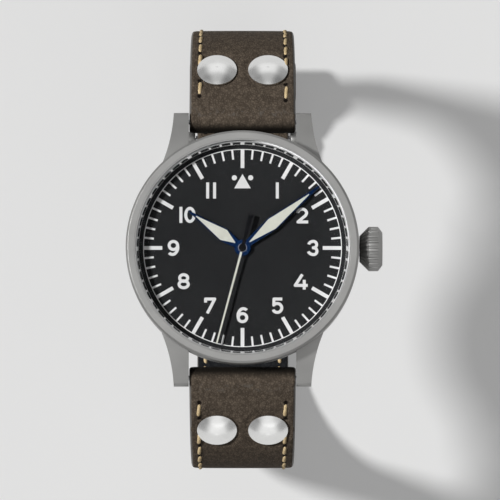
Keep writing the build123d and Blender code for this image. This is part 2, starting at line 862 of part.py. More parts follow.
# Motion work under the dial
cannon_top_z = minute_hand_z + hand_t
cannon = tube(cannon_r, cannon_bore_r, cannon_low_z, cannon_top_z)
cannon += wheel(
    cannon_leaf_r, cannon_leaves, cannon_low_z, cannon_low_z + cannon_leaf_t,
    bore=cannon_bore_r, depth=cannon_leaf_r - cannon_r,
)
parts["cannon_pinion"] = cannon
minute_wheel = wheel(
    minute_wheel_r, minute_wheel_teeth, cannon_low_z, cannon_low_z + wheel_t,
    minute_wheel_at, minute_post_r + slip,
)
minute_wheel += wheel(
    minute_pinion_r, minute_pinion_leaves, cannon_low_z + wheel_t, dial_low_z - slip,
    minute_wheel_at, minute_post_r + slip,
)
parts["minute_wheel"] = minute_wheel
hour_wheel = wheel(
    hour_wheel_r, hour_wheel_teeth, hour_wheel_low_z, hour_wheel_low_z + wheel_t, bore=hour_pipe_bore_r
)
hour_wheel += tube(hour_pipe_r, hour_pipe_bore_r, hour_wheel_low_z, hour_hand_z + hand_t)
parts["hour_wheel"] = hour_wheel

# Dial: thin disc with a centre hole and two feet
dial = tube(dial_r, dial_hole_r, dial_low_z, dial_top_z)
for place in foot_places:
    dial += disc(dial_foot_r, dial_low_z - dial_foot_len, dial_low_z, place)
parts["dial"] = dial

# Dial print: minute circle, ticks, figures, triangle and dots, as thin flat solids
figure_line_h = numeral_h - numeral_stroke
figure_line_w = numeral_w - numeral_stroke


def printed(face):
    """Thin solid of one printed shape on the dial."""
    return Pos(0, 0, dial_top_z) * extrude(face, print_t)


def at_share(point):
    """Point of a figure's stroke from shares of the figure's width and height."""
    return (point[0] * figure_line_w, point[1] * figure_line_h)


def straight(*shares):
    """Straight strokes through points given as shares."""
    return [Line(at_share(a), at_share(b)) for a, b in zip(shares, shares[1:])]


def bow(first, middle, last):
    """Round stroke through three points given as shares."""
    return [ThreePointArc(at_share(first), at_share(middle), at_share(last))]


def oval(centre_y_share, height_share, width_share):
    """Closed oval stroke as an outer oval less an inner one."""
    high = figure_line_h * height_share
    wide = figure_line_w * width_share
    outer = Ellipse((wide + numeral_stroke) / 2, (high + numeral_stroke) / 2)
    inner = Ellipse((wide - numeral_stroke) / 2, (high - numeral_stroke) / 2)
    return Pos(0, centre_y_share * figure_line_h) * (outer - inner)


def stroked(edges):
    """Face of a run of strokes, with round joints."""
    face = trace(edges[0], numeral_stroke)
    for edge in edges[1:]:
        joint = edge @ 0
        face += trace(edge, numeral_stroke) + Pos(joint.X, joint.Y) * Circle(numeral_stroke / 2)
    return face


# Runs of strokes of the figures, each through points given as shares of the stroke box
stroke_shares = {
    2: ((
        ("bow", (-0.53, 0.2), (0.0, 0.49), (0.5, 0.23)),
        ("bow", (0.5, 0.23), (0.4, 0.03), (0.15, -0.12)),
        ("line", (0.15, -0.12), (-0.5, -0.49), (0.68, -0.49)),
    ),),
    3: (
        (
            ("bow", (-0.47, 0.27), (-0.27, 0.44), (0.0, 0.5)),
            ("bow", (0.0, 0.5), (0.44, 0.27), (0.06, 0.01)),
            ("line", (0.06, 0.01), (-0.06, 0.01)),
        ),
        (
            ("line", (-0.06, 0.01), (0.06, 0.01)),
            ("bow", (0.06, 0.01), (0.48, -0.23), (0.0, -0.5)),
            ("bow", (0.0, -0.5), (-0.3, -0.43), (-0.52, -0.27)),
        ),
    ),
    4: (
        (("line", (0.17, 0.54), (-0.65, -0.295), (0.79, -0.295)),),
        (("line", (0.39, 0.13), (0.39, -0.61)),),
    ),
    5: ((
        ("line", (0.53, 0.49), (-0.42, 0.49), (-0.44, 0.03)),
        ("bow", (-0.44, 0.03), (0.47, -0.2), (-0.52, -0.32)),
    ),),
    6: ((
        ("bow", (-0.5, -0.15), (-0.41, 0.25), (-0.13, 0.455)),
        ("bow", (-0.13, 0.455), (0.2, 0.485), (0.48, 0.37)),
    ),),
    7: ((("line", (-0.52, 0.22), (-0.52, 0.49), (0.53, 0.49), (-0.32, -0.6)),),),
}
# Ovals of the figures: middle's height, height and width
oval_shares = {
    0: ((0.0, 1.0, 0.96),),
    6: ((-0.19, 0.61, 0.97),),
    8: ((-0.235, 0.52, 1.06), (0.245, 0.5, 0.92)),
}
# How far each number stands off its hour's place, as shares of the figures' height
shift_shares = {
    1: (0.07, -0.04),
    2: (0.09, -0.07),
    3: (0.18, 0.0),
    5: (0.09, 0.04),
    7: (0.08, 0.04),
    8: (-0.03, 0.02),
    9: (-0.11, 0.0),
    10: (0.21, -0.03),
    11: (0.14, -0.04),
}


def figure(digit):
    """Face of one figure, centred on the origin."""
    if digit == 1:
        return Rectangle(numeral_stroke, numeral_h)
    if digit == 9:
        return Rot(0, 0, 180) * figure(6)
    shapes = [oval(*shares) for shares in oval_shares.get(digit, ())]
    for run in stroke_shares.get(digit, ()):
        edges = []
        for kind, *shares in run:
            edges += bow(*shares) if kind == "bow" else straight(*shares)
        shapes.append(stroked(edges))
    face = shapes[0]
    for shape in shapes[1:]:
        face += shape
    return face


def figures(number):
    """Face of one dial number, its digits side by side."""
    if number < 10:
        return figure(number)
    second = number - 10
    second_w = numeral_w if second == 0 else numeral_stroke
    step = (numeral_stroke + second_w) / 2 + (figure_gap if second == 0 else bar_gap)
    both = Pos(-step / 2, 0) * figure(1) + Pos(step / 2, 0) * figure(second)
    return Pos((numeral_stroke - second_w) / 4, 0) * both


print_shapes = [printed(Circle(minute_circle_r) - Circle(minute_circle_r - minute_circle_w))]
for minute in range(60):
    long_tick = minute % 5 == 0
    tick_in = long_tick_in_r if long_tick else short_tick_in_r
    tick_w = long_tick_w if long_tick else short_tick_w
    tick_out = minute_circle_r - minute_circle_w / 2
    tick = Pos(0, (tick_in + tick_out) / 2) * Rectangle(tick_w, tick_out - tick_in)
    print_shapes[0] += printed(Rot(0, 0, -minute * 6) * tick)
for number in range(1, 12):
    angle = math.radians(number * 30)
    shift_x, shift_y = shift_shares.get(number, (0, 0))
    place = Pos(
        numeral_place_r * math.sin(angle) + shift_x * numeral_h,
        numeral_place_r * math.cos(angle) + shift_y * numeral_h,
    )
    print_shapes.append(printed(place * figures(number)))
triangle = make_face(Polyline(
    (-triangle_w / 2, triangle_low_y), (triangle_w / 2, triangle_low_y), (0, triangle_top_y), close=True
))
print_shapes.append(printed(triangle))
for side in (1, -1):
    print_shapes.append(printed(Pos(side * dot_x, dot_y) * Circle(dot_r)))
parts["dial_print"] = Compound(children=[
    solid for shape in print_shapes for solid in shape.solids()
])


def blade(start, start_w, wide_at, wide_w, end, end_w):
    """Long lozenge face from its places along the hand and its widths there."""
    return make_face(Polyline(
        (start_w / 2, start), (wide_w / 2, wide_at), (end_w / 2, end),
        (-end_w / 2, end), (-wide_w / 2, wide_at), (-start_w / 2, start), close=True,
    ))


def lit_hand(length, wide_at, lume_start, lume_end, hub_r, bore_r, low):
    """Framed hand and the lume that fills its window, drawn towards 12 o'clock."""
    window_w = hand_w - 2 * hand_frame_w
    window = blade(lume_start, hand_tip_w, wide_at, window_w, lume_end, hand_tip_w)
    frame = blade(0, hand_root_w, wide_at, hand_w, length, hand_tip_w)
    frame = frame + Circle(hub_r) - Circle(bore_r) - window
    return (
        Pos(0, 0, low) * extrude(frame, hand_t),
        Pos(0, 0, low) * extrude(window, hand_t),
    )


hour_frame, hour_lume = lit_hand(
    hour_hand_len, hour_hand_wide_at, hour_lume_start, hour_lume_end, hour_hub_r, hour_pipe_r, hour_hand_z
)
parts["hour_hand"] = clock(turn_hour) * hour_frame
parts["hour_hand_lume"] = clock(turn_hour) * hour_lume
minute_frame, minute_lume = lit_hand(
    minute_hand_len, minute_hand_wide_at, minute_lume_start, minute_lume_end,
    minute_hub_r, cannon_r, minute_hand_z,
)
parts["minute_hand"] = clock(turn_minute) * minute_frame
parts["minute_hand_lume"] = clock(turn_minute) * minute_lume

# Seconds hand: needle, hub and dark counterweight, with a strip of lume on the needle
needle = make_face(Polyline(
    (-second_hand_w / 2, 0), (second_hand_w / 2, 0),
    (second_hand_tip_w / 2, second_hand_len), (-second_hand_tip_w / 2, second_hand_len), close=True,
))
counter = make_face(Polyline(
    (-counter_neck_w / 2, 0), (counter_neck_w / 2, 0),
    (counter_w / 2, -counter_len), (-counter_w / 2, -counter_len), close=True,
))
second_top_z = second_hand_z + hand_t
second_body = Pos(0, 0, second_hand_z) * extrude(needle + counter + Circle(second_hub_r), hand_t)
parts["second_hand"] = clock(turn_second) * second_body
strip = Pos(0, 0, second_top_z) * extrude(needle - Circle(second_lume_start), second_lume_t)
parts["second_hand_lume"] = clock(turn_second) * strip

# Spring bars: a tube between the lugs with a sprung pin at each end
bar_end_x = lug_gap / 2 - bar_tube_end_gap
for name, side in (("upper", 1), ("lower", -1)):
    sleeve = rod_x(bar_tube_r, -bar_end_x, bar_end_x, side * bar_y, bar_z)
    sleeve -= rod_x(bar_tube_r - bar_tube_wall, -bar_end_x, bar_end_x, side * bar_y, bar_z)
    parts["spring_bar_" + name] = sleeve
    pin = rod_x(bar_pin_r, bar_end_x - bar_pin_in, lug_gap / 2 - slip, side * bar_y, bar_z)
    pin += rod_x(bar_pin_tip_r, lug_gap / 2 - slip, lug_gap / 2 + bar_pin_out, side * bar_y, bar_z)
    parts["bar_pin_" + name + "_crown"] = pin
    parts["bar_pin_" + name + "_far"] = mirror(pin, Plane.YZ)

# Strap halves: outer leather rolled round its spring bar, and a lining inside it
upper_path = strap_path(upper_slope, upper_lean)
lower_path = strap_path(lower_slope, lower_lean)
buckle_y, buckle_z = path_point(upper_path, upper_slope, upper_len)[:2]
tail_tip_y = buckle_y - buckle_reach - tail_gap
lower_base_y = path_point(lower_path, lower_slope, path_length(lower_path))[0]
lower_len = path_length(lower_path) + lower_base_y + tail_tip_y
leather_low = -strap_t / 2 + lining_t
leather_high = strap_t / 2
lining_low = -strap_t / 2


def bar_roll(side):
    """Leather roll round a spring bar, with its bore."""
    return (
        rod_x(roll_r, -strap_w_bar / 2, strap_w_bar / 2, side * bar_y, bar_z),
        rod_x(strap_bore_r, -strap_w_bar, strap_w_bar, side * bar_y, bar_z),
    )


def rivet_planes(path, slope, side):
    """Places of a half's two rivets, at the middle of the leather."""
    return [
        station(path, slope, side, rivet_at, x_side * rivet_spacing / 2) for x_side in (1, -1)
    ]


seat_sag = rivet_head_r ** 2 / (2 * (shoulder_bend_r + leather_high))
cap_sag = rivet_cap_r ** 2 / (2 * (shoulder_bend_r - leather_high))
head_low = leather_high - seat_sag


def rivet(place):
    """Domed rivet with its shank and its inner cap."""
    dome = make_face([
        Line((0, 0, head_low), (rivet_head_r, 0, head_low)),
        Line((rivet_head_r, 0, head_low), (rivet_head_r, 0, head_low + rivet_rim_t)),
        ThreePointArc(
            (rivet_head_r, 0, head_low + rivet_rim_t),
            dome_middle(),
            (0, 0, head_low + rivet_rim_t + rivet_dome_h),
        ),
        Line((0, 0, head_low + rivet_rim_t + rivet_dome_h), (0, 0, head_low)),
    ])
    body = revolve(dome, Axis.Z)
    cap_high = lining_low - cap_sag
    body += disc(rivet_shank_r, cap_high, head_low)
    body += disc(rivet_cap_r, cap_high - rivet_cap_t, cap_high)
    return place * body


def dome_middle():
    """Point halfway along the dome's round line."""
    sphere_r = (rivet_head_r ** 2 + rivet_dome_h ** 2) / (2 * rivet_dome_h)
    half_angle = math.asin(rivet_head_r / sphere_r) / 2
    low = head_low + rivet_rim_t + rivet_dome_h - sphere_r
    return (sphere_r * math.sin(half_angle), 0, low + sphere_r * math.cos(half_angle))


def rivet_ways(place):
    """Shank hole and head seat to cut in the leather."""
    way = disc(rivet_shank_r + slip, lining_low - overrun, leather_high + overrun)
    seat = disc(rivet_head_r + slip, head_low, leather_high + overrun)
    return place * (way + seat)


def strap_half(path, slope, side, leather_end, lining_end):
    """Outer leather and lining of one half, with its roll and rivet holes."""
    roll, bore = bar_roll(side)
    leather = ribbon(path, slope, side, 0, leather_end, leather_low, leather_high) + roll - bore
    lining = ribbon(path, slope, side, lining_start, lining_end, lining_low, leather_low)
    for place in rivet_planes(path, slope, side):
        leather -= rivet_ways(place)
        lining -= rivet_ways(place)
    return leather, lining


def rivets(path, slope, side):
    """Both rivets of one half."""
    return Compound(children=[rivet(place).solid() for place in rivet_planes(path, slope, side)])


upper_leather, upper_lining = strap_half(
    upper_path, upper_slope, 1, upper_len, upper_len - lining_start
)
buckle_roll_half_w = half_width(buckle_z)
upper_leather += rod_x(buckle_roll_r, -buckle_roll_half_w, buckle_roll_half_w, buckle_y, buckle_z)
upper_leather -= rod_x(strap_bore_r, -strap_w_bar, strap_w_bar, buckle_y, buckle_z)
upper_leather -= rod_x(
    tongue_slot_r, -tongue_slot_w / 2, tongue_slot_w / 2, buckle_y, buckle_z
)
upper_leather -= station(upper_path, upper_slope, 1, upper_len) * block(
    -tongue_slot_w / 2, tongue_slot_w / 2, -tongue_slot_back, 0, leather_low - slip, leather_high + overrun
)
parts["strap_upper"] = upper_leather
parts["strap_upper_lining"] = upper_lining
parts["strap_upper_rivets"] = rivets(upper_path, upper_slope, 1)

lower_leather, lower_lining = strap_half(lower_path, lower_slope, -1, lower_len, lower_len)
for index in range(hole_count):
    along = lower_len - hole_from_tip - index * hole_pitch
    way = station(lower_path, lower_slope, -1, along) * disc(hole_r, -strap_t, strap_t)
    lower_leather -= way
    lower_lining -= way


def round_tip(layer):
    """Tail layer with a half-round tip."""
    tip_r = half_width(base_z - strap_t)
    low, high = base_z - strap_t, base_z + strap_t
    corners = block(-strap_w_bar, strap_w_bar, tail_tip_y - tip_r, tail_tip_y + overrun, low, high)
    return layer - (corners - disc(tip_r, low, high, (0, tail_tip_y - tip_r)))


parts["strap_lower"] = round_tip(lower_leather)
parts["strap_lower_lining"] = round_tip(lower_lining)
parts["strap_lower_rivets"] = rivets(lower_path, lower_slope, -1)


def keeper(back):
    """Leather loop round the upper half, with room for the tail on the outside."""
    along = upper_len - back
    place = station(upper_path, upper_slope, 1, along)
    inner_half = half_width(place.origin.Z) + soft_gap
    low = lining_low - soft_gap - slip
    high = leather_high + keeper_tail_space
    outer = block(
        -inner_half - keeper_wall, inner_half + keeper_wall, -keeper_len / 2, keeper_len / 2,
        low - keeper_wall, high + keeper_wall,
    )
    hollow = block(-inner_half, inner_half, -keeper_len, keeper_len, low, high)
    return place * (outer - hollow)


parts["keeper_fixed"] = keeper(fixed_keeper_back)
parts["keeper_sliding"] = keeper(sliding_keeper_back)

# Buckle: bar through the roll, frame with two eyes on the bar, tongue with its own eye
arm_in_x = buckle_half_w - buckle_arm_w
bar_core = rod_x(bar_tube_r, -arm_in_x + face_gap, arm_in_x - face_gap, buckle_y, buckle_z)
tip_end_x = arm_in_x + bar_pin_out
bar_core += rod_x(bar_pin_tip_r, -tip_end_x, tip_end_x, buckle_y, buckle_z)
parts["buckle_bar"] = bar_core

frame_outer = Pos(0, -buckle_reach / 2) * Rectangle(2 * buckle_half_w, buckle_reach)
far_corners = frame_outer.vertices().sort_by(Axis.Y)[:2]
frame_outer = fillet(far_corners, buckle_corner_r)
window_y = (-buckle_reach + buckle_bar_w + buckle_eye_r) / 2
window = Pos(0, window_y) * Rectangle(2 * arm_in_x, buckle_reach - buckle_bar_w + buckle_eye_r)
frame = Pos(0, buckle_y, buckle_z - buckle_t / 2) * extrude(frame_outer - window, buckle_t)
for side in (1, -1):
    low_x, high_x = sorted((side * arm_in_x, side * buckle_half_w))
    frame += rod_x(buckle_eye_r, low_x, high_x, buckle_y, buckle_z)
frame -= rod_x(lug_hole_r, -tip_end_x - face_gap, tip_end_x + face_gap, buckle_y, buckle_z)
parts["buckle_frame"] = frame

tongue = rod_x(tongue_eye_r, -tongue_w / 2, tongue_w / 2, buckle_y, buckle_z)
tongue_top = buckle_z - buckle_t / 2 - slip
tongue += block(
    -tongue_w / 2, tongue_w / 2, buckle_y - tongue_len, buckle_y, tongue_top - tongue_t, tongue_top
)
tongue -= rod_x(strap_bore_r, -tongue_w, tongue_w, buckle_y, buckle_z)
parts["buckle_tongue"] = tongue

os.makedirs("parts", exist_ok=True)
for node, shape in parts.items():
    export_step(shape, "parts/" + node + ".step")
upper_base_y = path_point(upper_path, upper_slope, path_length(upper_path))[0]
print("buckle bar at", round(buckle_y, 3), round(buckle_z, 3), "lower half length", round(lower_len, 3))
print("upper half's base bend centre at", round(upper_base_y, 3), base_z + base_bend_r)
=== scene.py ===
import bpy
import bmesh
import math
from mathutils import Matrix, Vector


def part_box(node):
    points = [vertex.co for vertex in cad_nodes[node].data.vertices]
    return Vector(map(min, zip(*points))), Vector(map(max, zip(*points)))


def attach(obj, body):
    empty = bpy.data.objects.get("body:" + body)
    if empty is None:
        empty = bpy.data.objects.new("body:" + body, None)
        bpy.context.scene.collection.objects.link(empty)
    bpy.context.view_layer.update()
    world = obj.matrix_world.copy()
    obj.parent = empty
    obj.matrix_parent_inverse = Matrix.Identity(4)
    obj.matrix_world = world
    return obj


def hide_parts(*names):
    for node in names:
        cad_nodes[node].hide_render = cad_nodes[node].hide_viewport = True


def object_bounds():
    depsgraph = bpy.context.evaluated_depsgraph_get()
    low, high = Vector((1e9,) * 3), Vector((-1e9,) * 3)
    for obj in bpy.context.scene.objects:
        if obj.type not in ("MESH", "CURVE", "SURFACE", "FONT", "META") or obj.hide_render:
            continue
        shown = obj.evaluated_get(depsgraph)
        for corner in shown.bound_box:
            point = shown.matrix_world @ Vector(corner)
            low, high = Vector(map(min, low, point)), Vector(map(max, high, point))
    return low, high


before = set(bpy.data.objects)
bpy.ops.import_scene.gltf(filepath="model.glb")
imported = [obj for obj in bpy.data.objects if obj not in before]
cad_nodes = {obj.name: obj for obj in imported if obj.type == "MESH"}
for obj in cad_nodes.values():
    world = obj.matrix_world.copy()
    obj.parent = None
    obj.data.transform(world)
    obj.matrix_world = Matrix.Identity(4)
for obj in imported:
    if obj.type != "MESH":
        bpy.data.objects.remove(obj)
cad_box = [list(corner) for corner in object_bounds()]
bpy.ops.object.select_all(action="DESELECT")

# Studio: one soft key lamp from the upper left and a weak wide fill from the 6 o'clock side.
# The camera looks down on the dial with a long lens, tipped a little towards 6 o'clock.
mm = 0.001
picture_px = 500
mm_per_px = 0.16702
dial_px = (242.5, 248.0)
tilt = math.radians(4.8)
camera_distance = 1.5
nearest_seen = 0.05
dial_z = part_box("dial")[1].z

up_in_picture = Vector((0, math.cos(tilt), math.sin(tilt)))
to_camera = Vector((0, -math.sin(tilt), math.cos(tilt)))
shift_x = (picture_px / 2 - dial_px[0]) * mm_per_px * mm
shift_y = (dial_px[1] - picture_px / 2) * mm_per_px * mm
aim = Vector((shift_x, 0, dial_z)) + up_in_picture * shift_y
camera_data = bpy.data.cameras.new("camera")
camera = bpy.data.objects.new("camera", camera_data)
bpy.context.scene.collection.objects.link(camera)
half_picture = picture_px / 2 * mm_per_px * mm
camera_data.lens = camera_data.sensor_width / 2 * camera_distance / half_picture
camera_data.clip_start = nearest_seen
camera.location = aim + to_camera * camera_distance
camera.rotation_euler = (tilt, 0, 0)
bpy.context.scene.camera = camera
bpy.context.scene.view_settings.view_transform = "Standard"

# Lamps as (name, degrees across, energy, direction of the light)
lamps = (
    ("key_lamp", 7, 3.05, (0.62, -0.12, -0.775)),
    ("fill_lamp", 60, 0.30, (-0.1, 0.6, -0.79)),
)
for name, across, energy, direction in lamps:
    lamp_data = bpy.data.lights.new(name, "SUN")
    lamp_data.angle = math.radians(across)
    lamp_data.energy = energy
    lamp = bpy.data.objects.new(name, lamp_data)
    lamp.rotation_euler = Vector(direction).to_track_quat("-Z", "Y").to_euler()
    bpy.context.scene.collection.objects.link(lamp)


def feed(tree, socket, value):
    """Gives a socket a plain value, or a link where the value is another node's output."""
    if isinstance(value, bpy.types.NodeSocket):
        tree.links.new(value, socket)
    else:
        socket.default_value = value


def add_node(tree, kind, settings=None, **values):
    """New shader node with its settings and the values of its named inputs."""
    made = tree.nodes.new(kind)
    for name, value in (settings or {}).items():
        setattr(made, name, value)
    for name, value in values.items():
        feed(tree, made.inputs[name.replace("_", " ")], value)
    return made


def number_step(tree, kind, *values):
    """Result of one step of arithmetic on values given in the order of its inputs."""
    made = add_node(tree, "ShaderNodeMath", {"operation": kind})
    for socket, value in zip(made.inputs, values):
        feed(tree, socket, value)
    return made.outputs[0]


def vector_step(tree, kind, *values):
    """Results of one step of vector arithmetic, as a vector and as a number."""
    made = add_node(tree, "ShaderNodeVectorMath", {"operation": kind})
    for socket, value in zip(made.inputs, values):
        feed(tree, socket, value)
    return made.outputs


def smooth_band(tree, value, low, high):
    """Mask that goes smoothly from zero at one value to one at another."""
    return add_node(
        tree, "ShaderNodeMapRange", {"interpolation_type": "SMOOTHSTEP"},
        Value=value, From_Min=low, From_Max=high,
    ).outputs[0]


def mixed(tree, share, first, second):
    """Colour that goes from a first to a second along a share."""
    made = add_node(tree, "ShaderNodeMix", {"data_type": "RGBA"})
    for place, value in ((0, share), (6, first), (7, second)):
        feed(tree, made.inputs[place], value)
    return made.outputs[2]


def seen_by_eye(tree):
    """One for rays from the camera, mirrors and clear parts, zero for rays that carry light."""
    ray = add_node(tree, "ShaderNodeLightPath").outputs
    seen = number_step(tree, "MAXIMUM", ray["Is Camera Ray"], ray["Is Glossy Ray"])
    return number_step(tree, "MAXIMUM", seen, ray["Is Transmission Ray"])


# The surround as seen: bright overhead and low down, with a greyer belt between.
# Four soft boxes stand at the picture's sides, and the corners between them are darker.
surround_light = 0.10
surround_belt = ((0.0, 0.95), (0.42, 0.95), (0.62, 0.52), (0.84, 0.50), (0.96, 0.95))
corner_shade = 0.64
corner_start = 0.23
corner_full = 0.45
overhead_start = 0.99
overhead_end = 0.93
level_part = (1, 1, 0)
white = (1, 1, 1, 1)
world = bpy.data.worlds.new("surround")
bpy.context.scene.world = world
world.use_nodes = True
sky = world.node_tree
sky.nodes.clear()
look = add_node(sky, "ShaderNodeTexCoord").outputs["Generated"]
climb = add_node(sky, "ShaderNodeSeparateXYZ", Vector=look).outputs[2]
belt = add_node(sky, "ShaderNodeValToRGB", Fac=climb)
belt.color_ramp.interpolation = "EASE"
while len(belt.color_ramp.elements) < len(surround_belt):
    belt.color_ramp.elements.new(1.0)
for stop, (place, tone) in zip(belt.color_ramp.elements, surround_belt):
    stop.position = place
    stop.color = (tone, tone, tone, 1)
level_look = vector_step(sky, "MULTIPLY", look, level_part)[0]
compass = vector_step(sky, "NORMALIZE", level_look)[0]
bearing = add_node(sky, "ShaderNodeSeparateXYZ", Vector=compass).outputs
between = number_step(sky, "ABSOLUTE", number_step(sky, "MULTIPLY", bearing[0], bearing[1]))
shade = number_step(
    sky, "MULTIPLY",
    smooth_band(sky, between, corner_start, corner_full),
    smooth_band(sky, climb, overhead_start, overhead_end),
)
left_light = number_step(sky, "MULTIPLY_ADD", shade, -corner_shade, 1.0)
seen_sky = number_step(sky, "MULTIPLY", belt.outputs[0], left_light)
strength = add_node(sky, "ShaderNodeMix", Factor=seen_by_eye(sky), A=surround_light, B=seen_sky)
surround = add_node(sky, "ShaderNodeBackground", Color=white, Strength=strength.outputs[0])
add_node(sky, "ShaderNodeOutputWorld", Surface=surround.outputs[0])


def fresh_material(name, **values):
    """New material, its tree and its Principled shader with the given plain values."""
    material = bpy.data.materials.new(name)
    material.use_nodes = True
    shader = material.node_tree.nodes["Principled BSDF"]
    for key, value in values.items():
        shader.inputs[key.replace("_", " ")].default_value = value
    return material, material.node_tree, shader


def two_tones(tree, shader, mask, dark, light, low=0.3, high=0.7):
    """Base colour that runs from a dark to a light tone along a mask."""
    ramp = add_node(tree, "ShaderNodeValToRGB", Fac=mask)
    for stop, place, colour in zip(ramp.color_ramp.elements, (low, high), (dark, light)):
        stop.position = place
        stop.color = (*colour, 1)
    feed(tree, shader.inputs["Base Color"], ramp.outputs["Color"])
    return ramp.outputs["Color"]


def effect(name, values, results, build):
    """Node group that puts out masks and heights, with its named inputs and outputs."""
    group = bpy.data.node_groups.new(name, "ShaderNodeTree")
    for key, default in values.items():
        socket = group.interface.new_socket(
            name=key, in_out="INPUT", socket_type="NodeSocketFloat"
        )
        socket.default_value = default
    for key in results:
        group.interface.new_socket(name=key, in_out="OUTPUT", socket_type="NodeSocketFloat")
    entry = group.nodes.new("NodeGroupInput")
    leave = group.nodes.new("NodeGroupOutput")
    for key, socket in build(group, entry.outputs).items():
        group.links.new(socket, leave.inputs[key])
    return group


def use_effect(tree, group, **values):
    """A shared effect placed in one material with its own values."""
    return add_node(tree, "ShaderNodeGroup", {"node_tree": group}, **values).outputs


def build_grain(tree, given):
    """Even fine grain and slow cloudy tone, sized in metres."""
    place = add_node(tree, "ShaderNodeTexCoord").outputs["Object"]
    fine = number_step(tree, "DIVIDE", 1.0, given["Grain size"])
    broad = number_step(tree, "DIVIDE", 1.0, given["Cloud size"])
    height = add_node(tree, "ShaderNodeTexNoise", Vector=place, Scale=fine, Detail=2.0)
    tone = add_node(tree, "ShaderNodeTexNoise", Vector=place, Scale=broad, Detail=3.0)
    return {"Height": height.outputs[0], "Tone": tone.outputs[0]}


grain = effect(
    "even_grain", {"Grain size": 0.0002, "Cloud size": 0.004}, ("Height", "Tone"), build_grain
)

# Floor: a wide flat board in matt pale paint, just under the strap.
# To the eye it glows a little, and for the light that it sends back it is darker.
floor_gap = 0.2 * mm
floor_size = 3
floor_bounce = (0.22, 0.22, 0.22, 1)
floor_glow = 0.24
bpy.ops.mesh.primitive_plane_add(size=floor_size, location=(0, 0, cad_box[0][2] - floor_gap))
floor = bpy.context.active_object
floor.name = "floor"
floor_paint, tree, shader = fresh_material(
    "floor_paint", Roughness=0.9, Specular_IOR_Level=0.1, Emission_Color=white
)
mask = use_effect(tree, grain, Grain_size=0.002, Cloud_size=0.2)
paint = two_tones(
    tree, shader, mask["Tone"], dark=(0.53, 0.53, 0.527), light=(0.55, 0.55, 0.547)
)
seen = seen_by_eye(tree)
feed(tree, shader.inputs["Base Color"], mixed(tree, seen, floor_bounce, paint))
feed(tree, shader.inputs["Emission Strength"], number_step(tree, "MULTIPLY", seen, floor_glow))
floor.data.materials.append(floor_paint)


# Case, bezel and crown: turned and milled from steel, fluted on the crown, and bead blasted.
# Blasting leaves an even matt grain with no direction. The long edges are barely broken.
# The bezel is pressed on the case, and the crown is screwed to its stem.
def roughened(tree, shader, mask, smooth, rough):
    """Roughness that runs between two values along a mask."""
    spread = add_node(tree, "ShaderNodeMapRange", Value=mask, To_Min=smooth, To_Max=rough)
    feed(tree, shader.inputs["Roughness"], spread.outputs[0])


def raised(tree, shader, height, depth, strength):
    """Bump of a real depth, in metres, on the shader's normal."""
    bump = add_node(tree, "ShaderNodeBump", Height=height, Strength=strength, Distance=depth)
    feed(tree, shader.inputs["Normal"], bump.outputs["Normal"])


def grained(name, dark, light, smooth, rough, grain_size, cloud_size, relief=None, **values):
    """Material with cloudy tone, grainy gloss and, if given, relief as (depth, strength)."""
    material, tree, shader = fresh_material(name, **values)
    mask = use_effect(tree, grain, Grain_size=grain_size, Cloud_size=cloud_size)
    two_tones(tree, shader, mask["Tone"], dark, light)
    roughened(tree, shader, mask["Height"], smooth, rough)
    if relief:
        raised(tree, shader, mask["Height"], *relief)
    return material


weld_gap = 0.002 * mm
flat_within = math.radians(1.0)
sharp_from = math.radians(35.0)


def softened(node, body, material, width, turns=2):
    """Copy of a CAD node with its sharp edges broken by a small round, in its own place."""
    source = cad_nodes[node]
    piece = bpy.data.objects.new(node + "_finished", source.data.copy())
    bpy.context.scene.collection.objects.link(piece)
    bpy.ops.object.select_all(action="DESELECT")
    piece.select_set(True)
    bpy.context.view_layer.objects.active = piece
    bpy.ops.object.mode_set(mode="EDIT")
    bpy.ops.mesh.select_all(action="SELECT")
    bpy.ops.mesh.customdata_custom_splitnormals_clear()
    bpy.ops.mesh.remove_doubles(threshold=weld_gap)
    bpy.ops.mesh.dissolve_limited(angle_limit=flat_within)
    bpy.ops.object.mode_set(mode="OBJECT")
    rounding = piece.modifiers.new("broken_edges", "BEVEL")
    rounding.width = width * mm
    rounding.segments = turns
    rounding.limit_method = "ANGLE"
    rounding.angle_limit = sharp_from
    bpy.ops.object.modifier_apply(modifier=rounding.name)
    bpy.ops.object.shade_smooth()
    evened = piece.modifiers.new("flat_faces_kept_flat", "WEIGHTED_NORMAL")
    evened.weight = 100
    bpy.ops.object.modifier_apply(modifier=evened.name)
    piece.data.materials.clear()
    piece.data.materials.append(material)
    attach(piece, body)
    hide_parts(node)


blasted_steel = grained(
    "blasted_steel", dark=(0.268, 0.266, 0.260), light=(0.304, 0.302, 0.295),
    smooth=0.42, rough=0.56, grain_size=0.00009, cloud_size=0.006, relief=(0.00001, 0.5),
    Metallic=1.0,
)
softened("case_middle", "case", blasted_steel, 0.09)
softened("bezel", "case", blasted_steel, 0.05)
softened("crown", "crown", blasted_steel, 0.06)


# Glass: flat sapphire with an anti-reflection coat, in a grey nylon gasket; the back and the crown
# have black rubber seals. Rays that carry light to the dial pass straight through the glass.
def dress(material, *names):
    """Gives CAD nodes their material."""
    for name in names:
        cad_nodes[name].data.materials.clear()
        cad_nodes[name].data.materials.append(material)


